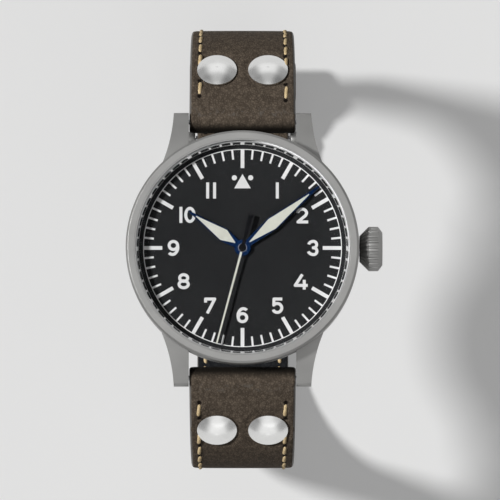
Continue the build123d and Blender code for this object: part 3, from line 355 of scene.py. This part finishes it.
sapphire, tree, shader = fresh_material(
    "sapphire", Roughness=0.0, IOR=1.05, Transmission_Weight=1.0
)
mask = use_effect(tree, grain, Grain_size=0.0004, Cloud_size=0.01)
two_tones(tree, shader, mask["Tone"], dark=(0.985, 0.99, 1.0), light=(1.0, 1.0, 1.0))
ray = add_node(tree, "ShaderNodeLightPath").outputs
unseen = number_step(tree, "MAXIMUM", ray["Is Shadow Ray"], ray["Is Diffuse Ray"])
either = add_node(tree, "ShaderNodeMixShader", Fac=unseen)
feed(tree, either.inputs[1], shader.outputs[0])
feed(tree, either.inputs[2], add_node(tree, "ShaderNodeBsdfTransparent").outputs[0])
feed(tree, tree.nodes["Material Output"].inputs["Surface"], either.outputs[0])
dress(sapphire, "glass")

seal = grained(
    "seal", dark=(0.012, 0.012, 0.012), light=(0.022, 0.022, 0.022),
    smooth=0.55, rough=0.75, grain_size=0.0001, cloud_size=0.003, Specular_IOR_Level=0.3,
)
dress(seal, "case_back_gasket", "crown_gasket")
nylon = grained(
    "nylon_grey", dark=(0.30, 0.30, 0.295), light=(0.36, 0.36, 0.355),
    smooth=0.45, rough=0.6, grain_size=0.0001, cloud_size=0.003, Specular_IOR_Level=0.4,
)
dress(nylon, "glass_gasket")


# Inner ring: a silvered cone between dial and glass, polished but for a satin rim at its top.
# The polished part mirrors the dial's black edge and the ends of the minute marks.
def from_axis(tree, place):
    """Distance of a place from the dial's axis."""
    return vector_step(tree, "LENGTH", vector_step(tree, "MULTIPLY", place, level_part)[0])["Value"]


ring_satin_r = 0.01762
ring_satin_blur = 0.00003
ring_rounding = 0.25
silvered, tree, shader = fresh_material("silvered_ring", Metallic=1.0)
place = add_node(tree, "ShaderNodeTexCoord").outputs["Object"]
satin = smooth_band(
    tree, from_axis(tree, place), ring_satin_r - ring_satin_blur, ring_satin_r + ring_satin_blur
)
two_tones(
    tree, shader, satin, dark=(0.74, 0.74, 0.74), light=(0.93, 0.93, 0.93), low=0.0, high=1.0
)
roughened(tree, shader, satin, smooth=0.07, rough=0.55)
rise = add_node(tree, "ShaderNodeSeparateXYZ", Vector=place).outputs[2]
rounded = add_node(
    tree, "ShaderNodeBump", {"invert": True}, Height=rise, Strength=1.0, Distance=ring_rounding
)
feed(tree, shader.inputs["Normal"], rounded.outputs["Normal"])
dress(silvered, "rehaut_ring")


# Case back and the movement: turned steel, plated brass and polished steel wheels.
# All of it is bare metal with fine tool lines, held by screws and pivots inside the case.
metal_cloud_scale = 180.0


def build_tool_lines(tree, given):
    """Fine rings round the dial's axis, as a lathe leaves them."""
    place = add_node(tree, "ShaderNodeTexCoord").outputs["Object"]
    share = number_step(tree, "DIVIDE", from_axis(tree, place), given["Line size"])
    lines = add_node(
        tree, "ShaderNodeTexNoise", {"noise_dimensions": "1D"}, W=share, Scale=1.0, Detail=2.0
    )
    tone = add_node(tree, "ShaderNodeTexNoise", Vector=place, Scale=metal_cloud_scale)
    return {"Height": lines.outputs[0], "Tone": tone.outputs[0]}


tool_lines = effect("tool_lines", {"Line size": 0.0002}, ("Height", "Tone"), build_tool_lines)


def bare_metal(name, dark, light, smooth, rough, line_size, relief):
    """Metal with turned lines, raised by (depth, strength), and a slight cloudy tone."""
    material, tree, shader = fresh_material(name, Metallic=1.0)
    mask = use_effect(tree, tool_lines, Line_size=line_size)
    two_tones(tree, shader, mask["Tone"], dark, light)
    roughened(tree, shader, mask["Height"], smooth, rough)
    raised(tree, shader, mask["Height"], *relief)
    return material


satin_steel = bare_metal(
    "satin_steel", dark=(0.56, 0.56, 0.55), light=(0.64, 0.64, 0.63),
    smooth=0.24, rough=0.42, line_size=0.00018, relief=(0.000006, 0.4),
)
dress(satin_steel, "case_back")
movement_brass = bare_metal(
    "movement_brass", dark=(0.66, 0.54, 0.31), light=(0.75, 0.63, 0.39),
    smooth=0.22, rough=0.36, line_size=0.0003, relief=(0.000004, 0.4),
)
dress(
    movement_brass,
    "main_plate", "train_bridge", "balance_cock", "barrel", "second_wheel", "third_wheel",
    "fourth_wheel", "balance_wheel", "minute_wheel", "hour_wheel",
)
movement_steel = bare_metal(
    "movement_steel", dark=(0.50, 0.50, 0.52), light=(0.60, 0.60, 0.62),
    smooth=0.14, rough=0.28, line_size=0.0003, relief=(0.000003, 0.4),
)
dress(
    movement_steel,
    "movement_ring", "crown_tube", "winding_stem", "sliding_pinion", "winding_pinion",
    "ratchet_wheel", "crown_wheel", "barrel_arbor", "mainspring", "escape_wheel", "pallet_fork",
    "hairspring", "cannon_pinion", "spring_bar_upper", "spring_bar_lower",
    "bar_pin_upper_crown", "bar_pin_upper_far", "bar_pin_lower_crown", "bar_pin_lower_far",
    "buckle_bar",
)

# Dial: a thin brass disc with a matt charcoal coat, held to the movement by two feet.
# Its marks, figures, triangle and dots are printed in thick white ink.
dial_black = grained(
    "dial_black", dark=(0.0152, 0.0158, 0.0166), light=(0.0190, 0.0197, 0.0206),
    smooth=0.62, rough=0.8, grain_size=0.00012, cloud_size=0.008, relief=(0.000008, 0.5),
    Specular_IOR_Level=0.06,
)
dress(dial_black, "dial")
print_white = grained(
    "print_white", dark=(0.735, 0.735, 0.73), light=(0.805, 0.805, 0.80),
    smooth=0.5, rough=0.7, grain_size=0.0001, cloud_size=0.002, Specular_IOR_Level=0.3,
)
dress(print_white, "dial_print")

# Hands: stamped steel, heat-blued for hours and minutes, with cream lume in their windows.
# The seconds hand is a thin lumed needle with a blackened tail. All are pressed on their arbors.
blued_steel = grained(
    "blued_steel", dark=(0.003, 0.013, 0.045), light=(0.006, 0.024, 0.085),
    smooth=0.2, rough=0.32, grain_size=0.0002, cloud_size=0.002, Metallic=1.0,
)
dress(blued_steel, "hour_hand", "minute_hand")
hand_dark = grained(
    "hand_dark", dark=(0.0022, 0.0024, 0.0032), light=(0.0045, 0.0048, 0.0060),
    smooth=0.4, rough=0.55, grain_size=0.0001, cloud_size=0.002, Specular_IOR_Level=0.05,
)
dress(hand_dark, "second_hand")
lume = grained(
    "lume", dark=(0.63, 0.635, 0.555), light=(0.71, 0.715, 0.63),
    smooth=0.7, rough=0.9, grain_size=0.00012, cloud_size=0.0012, relief=(0.00001, 0.4),
    Specular_IOR_Level=0.2,
)
dress(lume, "hour_hand_lume", "minute_hand_lume", "second_hand_lume")


# Strap leather: two halves, each an outer skin folded round its spring bar over a thin lining.
# Brown hide with a pebbled grain, its edges cut square, rubbed round and painted.
# The upper half also folds round the buckle's bar, with a slot for the tongue.
bar_low, bar_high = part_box("spring_bar_upper")
bar_y = (bar_low.y + bar_high.y) / 2 / mm
bar_z = (bar_low.z + bar_high.z) / 2 / mm
shoulder_bend_r = 19.0
base_bend_r = 22.0
base_z = -62.0
strap_w_bar = 17.8
strap_w_base = 15.8
leather_low = -0.5
leather_high = 1.5
lining_low = -1.5
lining_gap = 0.01
fold_low = 0.8
fold_end_low = 0.55
buckle_fold_low = fold_low - 0.1
buckle_fold_end_low = 0.6
roll_r = 1.9
buckle_roll_r = 1.5
fold_len = 2.3
shoulder_len = 3.5
lining_start = 2.4
stitch_share = 0.815
rivet_at = 8.95
rivet_x = 4.285
rivet_r = 3.33
rivet_sink = 0.3
rivet_sink_reach = 1.3
rivet_search = 5
slopes = {"upper": 9.7, "lower": 20.0}
leans = {"upper": 0.0, "lower": 7.0}
sides = {"upper": 1, "lower": -1}
lengths = {"upper": 75.0, "lower": 101.981}
seam_gap = 0.001 * mm
smooth_below = math.radians(50)


def leather_line(half):
    """Stretches of one half as (bend radius, length): the last runs on without end."""
    slope = math.radians(slopes[half])
    lean = math.radians(leans[half])
    shoulder_drop = shoulder_bend_r * (math.cos(slope) + math.sin(lean))
    base_drop = base_bend_r * (1 - math.sin(lean))
    straight_drop = bar_z - base_z - shoulder_drop - base_drop
    return (
        (shoulder_bend_r, shoulder_bend_r * (math.pi / 2 + lean - slope)),
        (0, straight_drop / math.cos(lean)),
        (base_bend_r, base_bend_r * (math.pi / 2 - lean)),
        (0, math.inf),
    )


def on_line(half, along):
    """Point, run direction and outward direction of a half's middle line, in millimetres."""
    y, z, heading = bar_y, bar_z, -math.radians(slopes[half])
    left = along
    for bend, length in leather_line(half):
        step = min(left, length)
        if bend:
            turned = heading - step / bend
            y += bend * (math.sin(heading) - math.sin(turned))
            z += bend * (math.cos(turned) - math.cos(heading))
            heading = turned
        else:
            y += step * math.cos(heading)
            z += step * math.sin(heading)
        left -= step
        if left <= 0:
            break
    side = sides[half]
    run = Vector((0, side * math.cos(heading), math.sin(heading)))
    out = Vector((0, -side * math.sin(heading), math.cos(heading)))
    return Vector((0, side * y, z)), run, out


def half_width(z):
    """Half of the strap's width at a height, in millimetres."""
    return (strap_w_bar + (strap_w_base - strap_w_bar) * (bar_z - z) / (bar_z - base_z)) / 2


def slice_at(half, along, low, high, turn=0.0, width_share=1.0):
    """One cross-section: place, across, out, low, high, half width and distance along.

    A turn, in radians, swings the outward direction back round the bar at that place.
    """
    place, run, out = on_line(half, along)
    out = out * math.cos(turn) - run * math.sin(turn)
    return place, Vector((1, 0, 0)), out, low, high, half_width(place.z) * width_share, along


def sweep(name, section, slices, closed=False):
    """Extrudes a ring of (across share, height share) points from slice to slice."""
    bpy.ops.object.select_all(action="DESELECT")
    bpy.ops.mesh.primitive_circle_add(vertices=len(section), radius=mm)
    piece = bpy.context.active_object
    piece.name = name
    piece.data.name = name
    bpy.ops.object.mode_set(mode="EDIT")
    shape = bmesh.from_edit_mesh(piece.data)
    corner = shape.verts.layers.int.new("corner")
    across = shape.verts.layers.float.new("across")
    down = shape.verts.layers.float.new("down")
    shape.verts.ensure_lookup_table()
    for number, vert in enumerate(shape.verts):
        vert[corner] = number

    def place_ring(place, sideways, out, low, high, half, along):
        for vert in shape.verts:
            if vert.select:
                share, rise = section[vert[corner]]
                vert.co = (place + sideways * share * half + out * (low + rise * (high - low))) * mm
                vert[across] = share
                vert[down] = along

    bpy.ops.mesh.select_all(action="SELECT")
    place_ring(*slices[0])
    for each in slices[1:]:
        bpy.ops.mesh.extrude_region_move()
        place_ring(*each)
    bmesh.update_edit_mesh(piece.data)
    bpy.ops.mesh.select_all(action="SELECT")
    if closed:
        bpy.ops.mesh.remove_doubles(threshold=seam_gap)
    else:
        bpy.ops.mesh.fill_holes(sides=0)
    bpy.ops.mesh.normals_make_consistent(inside=False)
    shape = bmesh.from_edit_mesh(piece.data)
    pattern = shape.loops.layers.uv.verify()
    across = shape.verts.layers.float["across"]
    down = shape.verts.layers.float["down"]
    for face in shape.faces:
        for loop in face.loops:
            loop[pattern].uv = (loop.vert[across], loop.vert[down])
    bmesh.update_edit_mesh(piece.data)
    bpy.ops.object.mode_set(mode="OBJECT")
    bpy.ops.object.shade_smooth_by_angle(angle=smooth_below)
    return piece


def mirrored(half_section):
    """Ring from its +X half, listed from the top middle round to the bottom middle."""
    return half_section + [(-share, rise) for share, rise in reversed(half_section[1:-1])]


def steps(start, end, size):
    """Even steps from a start to an end, both counted, near a given size."""
    count = max(2, round(abs(end - start) / size))
    return [start + (end - start) * number / count for number in range(count + 1)]


def eased(start, end, along, reach):
    """Value that goes smoothly from a start to an end over a reach."""
    share = min(max(along / reach, 0.0), 1.0)
    return start + (end - start) * share * share * (3 - 2 * share)


# Sections as (across share, height share): a faint crown, a stitch groove and rubbed edges
skin_section = mirrored(
    [(share / 20, 1 - 0.012 * (share / 16) ** 2) for share in range(0, 16)]
    + [(0.79, 0.975), (stitch_share, 0.94), (0.84, 0.972), (0.88, 0.978), (0.92, 0.968)]
    + [(0.945, 0.95), (0.965, 0.915), (0.98, 0.86), (0.991, 0.78), (0.998, 0.66), (1.0, 0.5)]
    + [(1.0, 0.12), (0.992, 0.03), (0.98, 0.0), (0.5, 0), (0, 0)]
)
liner_section = mirrored([
    (0, 1), (0.5, 1), (0.985, 1.0), (1.0, 0.9), (1.0, 0.45), (0.993, 0.28), (0.98, 0.16),
    (0.96, 0.09), (0.92, 0.05), (0.84, 0.03), (stitch_share, 0.08), (0.79, 0.03), (0.7, 0.02),
    (0.5, 0.01), (0.25, 0), (0, 0),
])
roll_step = 0.4
near_step = 0.45
far_step = 0.9
near_len = 14.4
nose_turns = 16
tip_turns = 12
tip_swing = math.radians(88)


def tip_slices(half, low, high):
    """Half-round tail tip, closed almost to a point."""
    tip_r = half_width(base_z)
    made = []
    for number in range(1, tip_turns + 1):
        swing = tip_swing * number / tip_turns
        along = lengths[half] - tip_r + tip_r * math.sin(swing)
        made.append(slice_at(half, along, low, high, 0.0, math.cos(swing)))
    return made


def skin_slices(half):
    """The outer skin from its fold under the spring bar to its far end."""
    length = lengths[half]
    made = []
    for along in steps(fold_len, 0, roll_step):
        low = eased(fold_low, fold_end_low, along, fold_len)
        high = eased(roll_r, -lining_low, along, fold_len)
        made.append(slice_at(half, along, low, high, math.pi)[:-1] + (-roll_r * math.pi - along,))
    for number in range(1, nose_turns):
        turn = math.pi * (1 - number / nose_turns)
        made.append(slice_at(half, 0, fold_low, roll_r, turn)[:-1] + (-roll_r * turn,))
    end = length if half == "upper" else length - half_width(base_z)
    for along in steps(0, near_len, near_step) + steps(near_len, end, far_step)[1:]:
        low = eased(fold_low, leather_low, along, fold_len)
        high = eased(roll_r, leather_high, along, shoulder_len)
        if half == "upper":
            low = eased(buckle_fold_low, low, length - along, fold_len)
        made.append(slice_at(half, along, low, high))
    if half == "lower":
        return made + tip_slices(half, leather_low, leather_high)
    for number in range(1, nose_turns):
        turn = -math.pi * number / nose_turns
        made.append(slice_at(half, length, buckle_fold_low, buckle_roll_r, turn))
    for along in steps(0, fold_len, roll_step):
        place = length - along
        made.append(slice_at(half, place, buckle_fold_end_low, buckle_roll_r, -math.pi))
    return made


def liner_slices(half):
    """The lining, from past the fold to the buckle's fold or the tip."""
    length = lengths[half]
    end = length - lining_start if half == "upper" else length - half_width(base_z)
    high = leather_low - lining_gap
    alongs = steps(lining_start, end, far_step)
    made = [slice_at(half, along, lining_low, high) for along in alongs]
    if half == "lower":
        made += tip_slices(half, lining_low, high)
    return made


def pressed_down(piece, half):
    """Sinks the skin a little under and round each rivet head."""
    across = piece.data.attributes["across"].data
    down = piece.data.attributes["down"].data
    for vert in piece.data.vertices:
        along = down[vert.index].value
        if abs(along - rivet_at) > rivet_search:
            continue
        place, run, out = on_line(half, along)
        if (vert.co / mm - place).dot(out) < 0:
            continue
        reach = math.hypot(abs(vert.co.x / mm) - rivet_x, along - rivet_at)
        vert.co -= out * eased(rivet_sink, 0, reach - rivet_r, rivet_sink_reach) * mm


def cut_away(piece, cutter):
    """Takes the cutter's shape out of a piece, and the cutter with it."""
    bpy.ops.object.select_all(action="DESELECT")
    bpy.context.view_layer.objects.active = piece
    piece.select_set(True)
    cut = piece.modifiers.new("cut", "BOOLEAN")
    cut.operation = "DIFFERENCE"
    cut.solver = "EXACT"
    cut.object = cutter
    bpy.ops.object.modifier_apply(modifier=cut.name)
    bpy.data.objects.remove(cutter)


def set_into(piece, matrix):
    """Moves a mesh into place, leaving its object at the origin."""
    piece.data.transform(matrix)
    piece.data.update()


def frame_on(half, along, x=0.0, rise=0.0, run_turn=0.0):
    """Matrix with its Y along the strap and its Z outwards, at a place on a half."""
    place, run, out = on_line(half, along)
    sideways = run.cross(out)
    turned = run * math.cos(run_turn) + sideways * math.sin(run_turn)
    sideways = turned.cross(out)
    spot = (place + Vector((x, 0, 0)) + out * rise) * mm
    matrix = Matrix((sideways, turned, out)).transposed().to_4x4()
    matrix.translation = spot
    return matrix


hole_count = 7
hole_r = 1.1
hole_pitch = 6.5
hole_from_tip = 22.0
hole_sides = 32
punch_depth = 8
slot_punch_size = (3.0, 4.9, 5)


def joined(pieces, name):
    """Several like pieces joined in one mesh."""
    bpy.ops.object.select_all(action="DESELECT")
    for piece in pieces:
        piece.select_set(True)
    bpy.context.view_layer.objects.active = pieces[0]
    bpy.ops.object.join()
    pieces[0].name = name
    pieces[0].data.name = name
    return pieces[0]


def hole_punch():
    """Round punches at the tail's holes."""
    punches = []
    for number in range(hole_count):
        bpy.ops.object.select_all(action="DESELECT")
        bpy.ops.mesh.primitive_cylinder_add(
            vertices=hole_sides, radius=hole_r * mm, depth=punch_depth * mm
        )
        punch = bpy.context.active_object
        along = lengths["lower"] - hole_from_tip - number * hole_pitch
        set_into(punch, frame_on("lower", along))
        punches.append(punch)
    return joined(punches, "punch")


def slot_punch():
    """Long punch that clears the tongue's slot in the buckle roll."""
    bpy.ops.object.select_all(action="DESELECT")
    bpy.ops.mesh.primitive_cube_add(size=1)
    punch = bpy.context.active_object
    set_into(punch, Matrix.Diagonal([side * mm for side in slot_punch_size] + [1]))
    set_into(punch, frame_on("upper", lengths["upper"]))
    return punch


# The hide's scales are cells to the metre, and its wander is in metres
wander_scale = 1100.0
wander_reach = (0.0005, 0.0005, 0.0005)
crease_width = 0.3
pore_scale = 5000.0
pore_share = 0.5
hide_tone_scale = 1400.0


def build_hide(tree, given):
    """Pebbled leather grain: rounded cells, fine pores and slow colour changes."""
    place = add_node(tree, "ShaderNodeTexCoord").outputs["Object"]
    size = number_step(tree, "DIVIDE", 1.0, given["Cell size"])
    wander = add_node(tree, "ShaderNodeTexNoise", Vector=place, Scale=wander_scale, Detail=2.0)
    bent = vector_step(tree, "MULTIPLY_ADD", wander.outputs["Color"], wander_reach, place)[0]
    cells = add_node(
        tree, "ShaderNodeTexVoronoi", {"feature": "DISTANCE_TO_EDGE"}, Vector=bent, Scale=size
    )
    walls = smooth_band(tree, cells.outputs["Distance"], 0.0, crease_width)
    pores = add_node(tree, "ShaderNodeTexNoise", Vector=place, Scale=pore_scale, Detail=2.0)
    height = number_step(tree, "MULTIPLY_ADD", pores.outputs[0], pore_share, walls)
    tone = add_node(tree, "ShaderNodeTexNoise", Vector=place, Scale=hide_tone_scale, Detail=4.0)
    return {"Height": height, "Cells": walls, "Tone": tone.outputs[0]}


hide = effect("hide_grain", {"Cell size": 0.00045}, ("Height", "Cells", "Tone"), build_hide)

# Marks on the skin, and painted shade on the roll at the bar, in millimetres of the strap. A pair
# is where a mark starts and where it is full
stitch_pitch = 3.0
first_stitches = {"upper": 4.2, "lower": 3.9}
crown_side_leads = {"upper": 0.8, "lower": 0.0}
mean_half_width = 8.5
needle_lead = 0.2
needle_band = (0.5, 0.22)
seam_band = (-0.6, -0.5)
crest_bands = ((2.4, 1.0), (0.1, 0.8))
patch_scale = 1500.0
patch_band = (0.5, 0.72)
worn_share = 0.7
# Painted shade: the roll round the spring bar is darkened in colour on its side towards the case,
# where the case shades it
painted_roll_shade_band = (-0.2, -1.9)


def map_place(tree):
    """Share across and distance along, from the map of a swept mesh."""
    spot = add_node(tree, "ShaderNodeUVMap").outputs[0]
    return add_node(tree, "ShaderNodeSeparateXYZ", Vector=spot).outputs[:2]


def build_sewn_marks_and_shade(tree, given):
    """Needle marks, scuffs and painted shade on the roll's side towards the case, from the strap's
    own map.
    """
    across, along = map_place(tree)

    def step(kind, *values):
        return number_step(tree, kind, *values)

    off_seam = step("SUBTRACT", step("ABSOLUTE", across), stitch_share)
    aside = step("MULTIPLY", off_seam, mean_half_width)
    ahead = step("MULTIPLY", step("GREATER_THAN", across, 0.0), given["Crown side lead"])
    past = step("ADD", step("SUBTRACT", along, given["First stitch"]), ahead)
    beside = step("PINGPONG", step("ADD", past, needle_lead), stitch_pitch / 2)
    away = step("SQRT", step("ADD", step("POWER", aside, 2.0), step("POWER", beside, 2.0)))
    in_hole, in_seam = smooth_band(tree, away, *needle_band), smooth_band(tree, past, *seam_band)
    over_bar = step("MULTIPLY", *(smooth_band(tree, along, *band) for band in crest_bands))
    place = add_node(tree, "ShaderNodeTexCoord").outputs["Object"]
    patches = add_node(tree, "ShaderNodeTexNoise", Vector=place, Scale=patch_scale, Detail=3.0)
    scuffed = step("MULTIPLY", over_bar, smooth_band(tree, patches.outputs[0], *patch_band))
    return {
        "Needle": step("MULTIPLY", in_hole, in_seam),
        "Worn": step("MULTIPLY", scuffed, worn_share),
        # Painted shade: the roll mask is darkest on the roll's side towards the case
        "Painted_roll_shade": smooth_band(tree, along, *painted_roll_shade_band),
    }


sewn_marks_and_shade = effect(
    "sewn_marks_and_shade", {"First stitch": first_stitches["upper"], "Crown side lead": 0.0},
    ("Needle", "Worn", "Painted_roll_shade"), build_sewn_marks_and_shade,
)
# The needle and worn tones are marks on the leather; the roll tone is painted shade, not a colour
# of the leather
mark_and_shade_tones = {
    "Worn": (0.13, 0.115, 0.10, 1), "Needle": (0.008, 0.006, 0.005, 1),
    "Painted_roll_shade": (0.012, 0.010, 0.008, 1),
}
wall_share = 0.28


def leather(name, dark, light, cell_size, depth, first_stitch=None, lead=0.0):
    """Leather with a pebbled grain, darker in its creases and at its needle marks, with painted
    shade on the roll at the bar.
    """
    material, tree, shader = fresh_material(name, Specular_IOR_Level=0.04)
    mask = use_effect(tree, hide, Cell_size=cell_size)
    blend = number_step(tree, "MULTIPLY_ADD", mask["Cells"], wall_share, mask["Tone"])
    tone = two_tones(tree, shader, blend, dark, light, low=0.45, high=0.95)
    if first_stitch is not None:
        marks = use_effect(tree, sewn_marks_and_shade, First_stitch=first_stitch, Crown_side_lead=lead)
        # Needle and worn marks are the leather's own; the roll tone mixed in here is painted shade
        for mark, mark_and_shade_tone in mark_and_shade_tones.items():
            tone = mixed(tree, marks[mark], tone, mark_and_shade_tone)
        feed(tree, shader.inputs["Base Color"], tone)
    roughened(tree, shader, mask["Tone"], smooth=0.62, rough=0.78)
    raised(tree, shader, mask["Height"], depth, strength=0.8)
    return material


strap_hide = {
    "dark": (0.064, 0.050, 0.038), "light": (0.148, 0.117, 0.088),
    "cell_size": 0.00045, "depth": 0.00005,
}
leather_skins = {
    half: leather(
        "leather_outer_" + half, **strap_hide,
        first_stitch=first_stitches[half], lead=crown_side_leads[half],
    )
    for half in slopes
}
leather_lining = leather(
    "leather_lining", dark=(0.010, 0.0105, 0.012), light=(0.024, 0.025, 0.027),
    cell_size=0.0006, depth=0.00002,
)
edge_paint = grained(
    "edge_paint", dark=(0.085, 0.078, 0.070), light=(0.125, 0.118, 0.110),
    smooth=0.4, rough=0.6, grain_size=0.0003, cloud_size=0.003, relief=(0.00003, 0.5),
    Specular_IOR_Level=0.4,
)
edge_from = 0.5


def finished_leather(piece, face, body, node, painted=True):
    """Gives a leather piece its materials, with painted edges, and its place in the assembly."""
    piece.data.materials.clear()
    piece.data.materials.append(face)
    piece.data.materials.append(edge_paint)
    for polygon in piece.data.polygons:
        polygon.material_index = int(painted and abs(polygon.normal.x) > edge_from)
    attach(piece, body)
    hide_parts(node)


for half in slopes:
    skin = sweep("strap_skin_" + half, skin_section, skin_slices(half))
    pressed_down(skin, half)
    liner = sweep("strap_liner_" + half, liner_section, liner_slices(half))
    if half == "upper":
        cut_away(skin, slot_punch())
    else:
        cut_away(skin, hole_punch())
        cut_away(liner, hole_punch())
    body = "strap_" + half
    finished_leather(skin, leather_skins[half], body, body)
    finished_leather(liner, leather_lining, body, body + "_lining")

# Stitching: waxed cream thread in a line along each edge and round the tail tip.
# Each stitch is a short length of thread that rises from one needle hole and dips into the next.
stitch_len = 2.6
stitch_slant = math.radians(4)
outer_seat = 0.2
inner_seat = 0.05
seam_end = 1.5
under_rivet = 1.4
thread_r = 0.32
thread_sides = 8
thread_turns = [2 * math.pi * side / thread_sides for side in range(thread_sides)]
thread_ring = [(math.sin(turn), 0.5 + 0.5 * math.cos(turn)) for turn in thread_turns]
# The thread's middle line over one stitch as (distance along, rise, radius)
thread_path = (
    (0.0, -0.38, 0.11), (0.12, -0.20, 0.21), (0.32, -0.03, 0.29), (0.65, 0.03, thread_r),
    (1.3, 0.05, thread_r), (1.95, 0.03, thread_r), (2.28, -0.03, 0.29), (2.48, -0.20, 0.21),
    (2.6, -0.38, 0.11),
)
thread_cream, tree, shader = fresh_material("thread_cream", Specular_IOR_Level=0.3)
ply_lay = 1.6
ply_half = 0.5
ply_share = 0.8
across, along = map_place(tree)
lay = number_step(tree, "MULTIPLY_ADD", along, ply_lay, across)
plies = number_step(tree, "PINGPONG", lay, ply_half)
mask = use_effect(tree, grain, Grain_size=0.0001, Cloud_size=0.001)
blend = number_step(tree, "MULTIPLY_ADD", plies, ply_share, mask["Tone"])
two_tones(
    tree, shader, blend, dark=(0.50, 0.365, 0.19), light=(0.75, 0.585, 0.345), low=0.35, high=0.95
)
roughened(tree, shader, mask["Height"], smooth=0.6, rough=0.8)
raised(tree, shader, plies, depth=0.00005, strength=0.7)


def one_stitch():
    """A single stitch along +Y from the origin, its surface line at Z zero."""
    up = Vector((0, 0, 1))
    slices = [
        (Vector((0, y, 0)), Vector((1, 0, 0)), up, rise - radius, rise + radius, radius, y)
        for y, rise, radius in thread_path
    ]
    return sweep("stitch", thread_ring, slices)


def stitch_line(half, face_rise, outward, name):
    """All stitches of one half's face, joined."""
    pattern = one_stitch()
    length = lengths[half]
    tip_r = half_width(base_z)
    end = length - stitch_len - (lining_start + seam_end if half == "upper" else tip_r)
    spots = []
    along = first_stitches[half] if outward else first_stitches[half] + stitch_pitch
    while along <= end:
        hidden = outward and abs(along + stitch_len / 2 - rivet_at) < under_rivet
        if not hidden:
            for x_side, ahead in ((1, crown_side_leads[half]), (-1, 0)):
                place, run, out = on_line(half, along - ahead)
                x = x_side * stitch_share * half_width(place.z)
                spots.append((along - ahead, x, stitch_slant))
        along += stitch_pitch
    if half == "lower":
        turn_r = tip_r * stitch_share
        count = round(math.pi * turn_r / stitch_pitch)
        for number in range(count):
            swing = math.pi * (number + 0.5) / count
            away = length - tip_r + turn_r * math.sin(swing) - stitch_len / 2 * math.cos(swing)
            x = turn_r * math.cos(swing) + stitch_len / 2 * math.sin(swing)
            spots.append((away, x, swing))
    stitches = []
    flip = Matrix.Identity(4) if outward else Matrix.Diagonal((-1, 1, -1, 1))
    for along, x, turn in spots:
        stitch = bpy.data.objects.new("stitch", pattern.data.copy())
        bpy.context.scene.collection.objects.link(stitch)
        set_into(stitch, frame_on(half, along, x, face_rise, turn) @ flip)
        stitches.append(stitch)
    bpy.data.objects.remove(pattern)
    line = joined(stitches, name)
    line.data.materials.clear()
    line.data.materials.append(thread_cream)
    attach(line, "strap_" + half)


for half in slopes:
    stitch_line(half, leather_high - outer_seat, True, "stitching_" + half + "_outside")
    stitch_line(half, lining_low + inner_seat, False, "stitching_" + half + "_inside")

# Rivets: nickel-plated domes pressed over a shank, two on each half behind the lugs.
# Their plating is bright and a little satin.
rivet_nickel, tree, shader = fresh_material("rivet_nickel", Metallic=1.0)
mask = use_effect(tree, grain, Grain_size=0.0002, Cloud_size=0.003)
two_tones(tree, shader, mask["Tone"], dark=(0.80, 0.80, 0.79), light=(0.88, 0.88, 0.87))
roughened(tree, shader, mask["Tone"], smooth=0.20, rough=0.27)
dress(rivet_nickel, "strap_upper_rivets", "strap_lower_rivets")

# Keepers: two loops of the strap's leather, one sewn down behind the buckle, one free to slide.
# Each is a band bent round with soft corners.
keeper_len = 4.2
keeper_wall = 0.9
keeper_gap = 0.3
keeper_corner = 0.6
keeper_corner_turns = 6
keeper_corner_map = 0.4
keeper_side_map = 8
keeper_low = -1.76
keeper_high = 4.8
# Each keeper's distance from the buckle's bar, and the body that it rides on
keeper_backs = {"keeper_fixed": (5.2, "strap_upper"), "keeper_sliding": (10.6, "keeper_sliding")}
keeper_ring = mirrored([
    (0, 1), (0.4, 0.99), (0.75, 0.96), (0.9, 0.9), (0.97, 0.8), (1.0, 0.62), (1.0, 0.3),
    (0.97, 0.1), (0.9, 0.0), (0.4, 0), (0, 0),
])
keeper_leather = leather("leather_keeper", **strap_hide)


def keeper_slices(along):
    """Slices round the loop at a place on the upper half."""
    place, run, out = on_line("upper", along)
    side = Vector((1, 0, 0))
    corner_x = half_width(place.z) + keeper_gap - keeper_corner
    top, bottom = keeper_high - keeper_corner, keeper_low + keeper_corner
    corners = ((corner_x, top), (-corner_x, top), (-corner_x, bottom), (corner_x, bottom))
    made = []
    travelled = 0.0
    for quarter, (x, rise) in enumerate(corners):
        for number in range(keeper_corner_turns + 1):
            turn = math.radians(90 * (quarter + number / keeper_corner_turns))
            way = side * math.cos(turn) + out * math.sin(turn)
            middle = place + side * x + out * rise
            wall_end = keeper_corner + keeper_wall
            made.append((middle, run, way, keeper_corner, wall_end, keeper_len / 2, travelled))
            travelled += keeper_corner_map
        travelled += keeper_side_map
    made.append(made[0][:-1] + (travelled,))
    return made


for node, (back, body) in keeper_backs.items():
    slices = keeper_slices(lengths["upper"] - back)
    loop = sweep(node + "_loop", keeper_ring, slices, closed=True)
    finished_leather(loop, keeper_leather, body, node, painted=False)

# Buckle: a stamped steel frame and tongue on a bar through the strap's end.
# The edges are tumbled round, and the faces are bead blasted like the case.
buckle_steel = grained(
    "buckle_steel", dark=(0.24, 0.238, 0.232), light=(0.28, 0.278, 0.270),
    smooth=0.42, rough=0.54, grain_size=0.00012, cloud_size=0.004, relief=(0.000008, 0.4),
    Metallic=1.0,
)
softened("buckle_frame", "buckle_frame", buckle_steel, 0.45, turns=3)
softened("buckle_tongue", "buckle_tongue", buckle_steel, 0.2, turns=3)
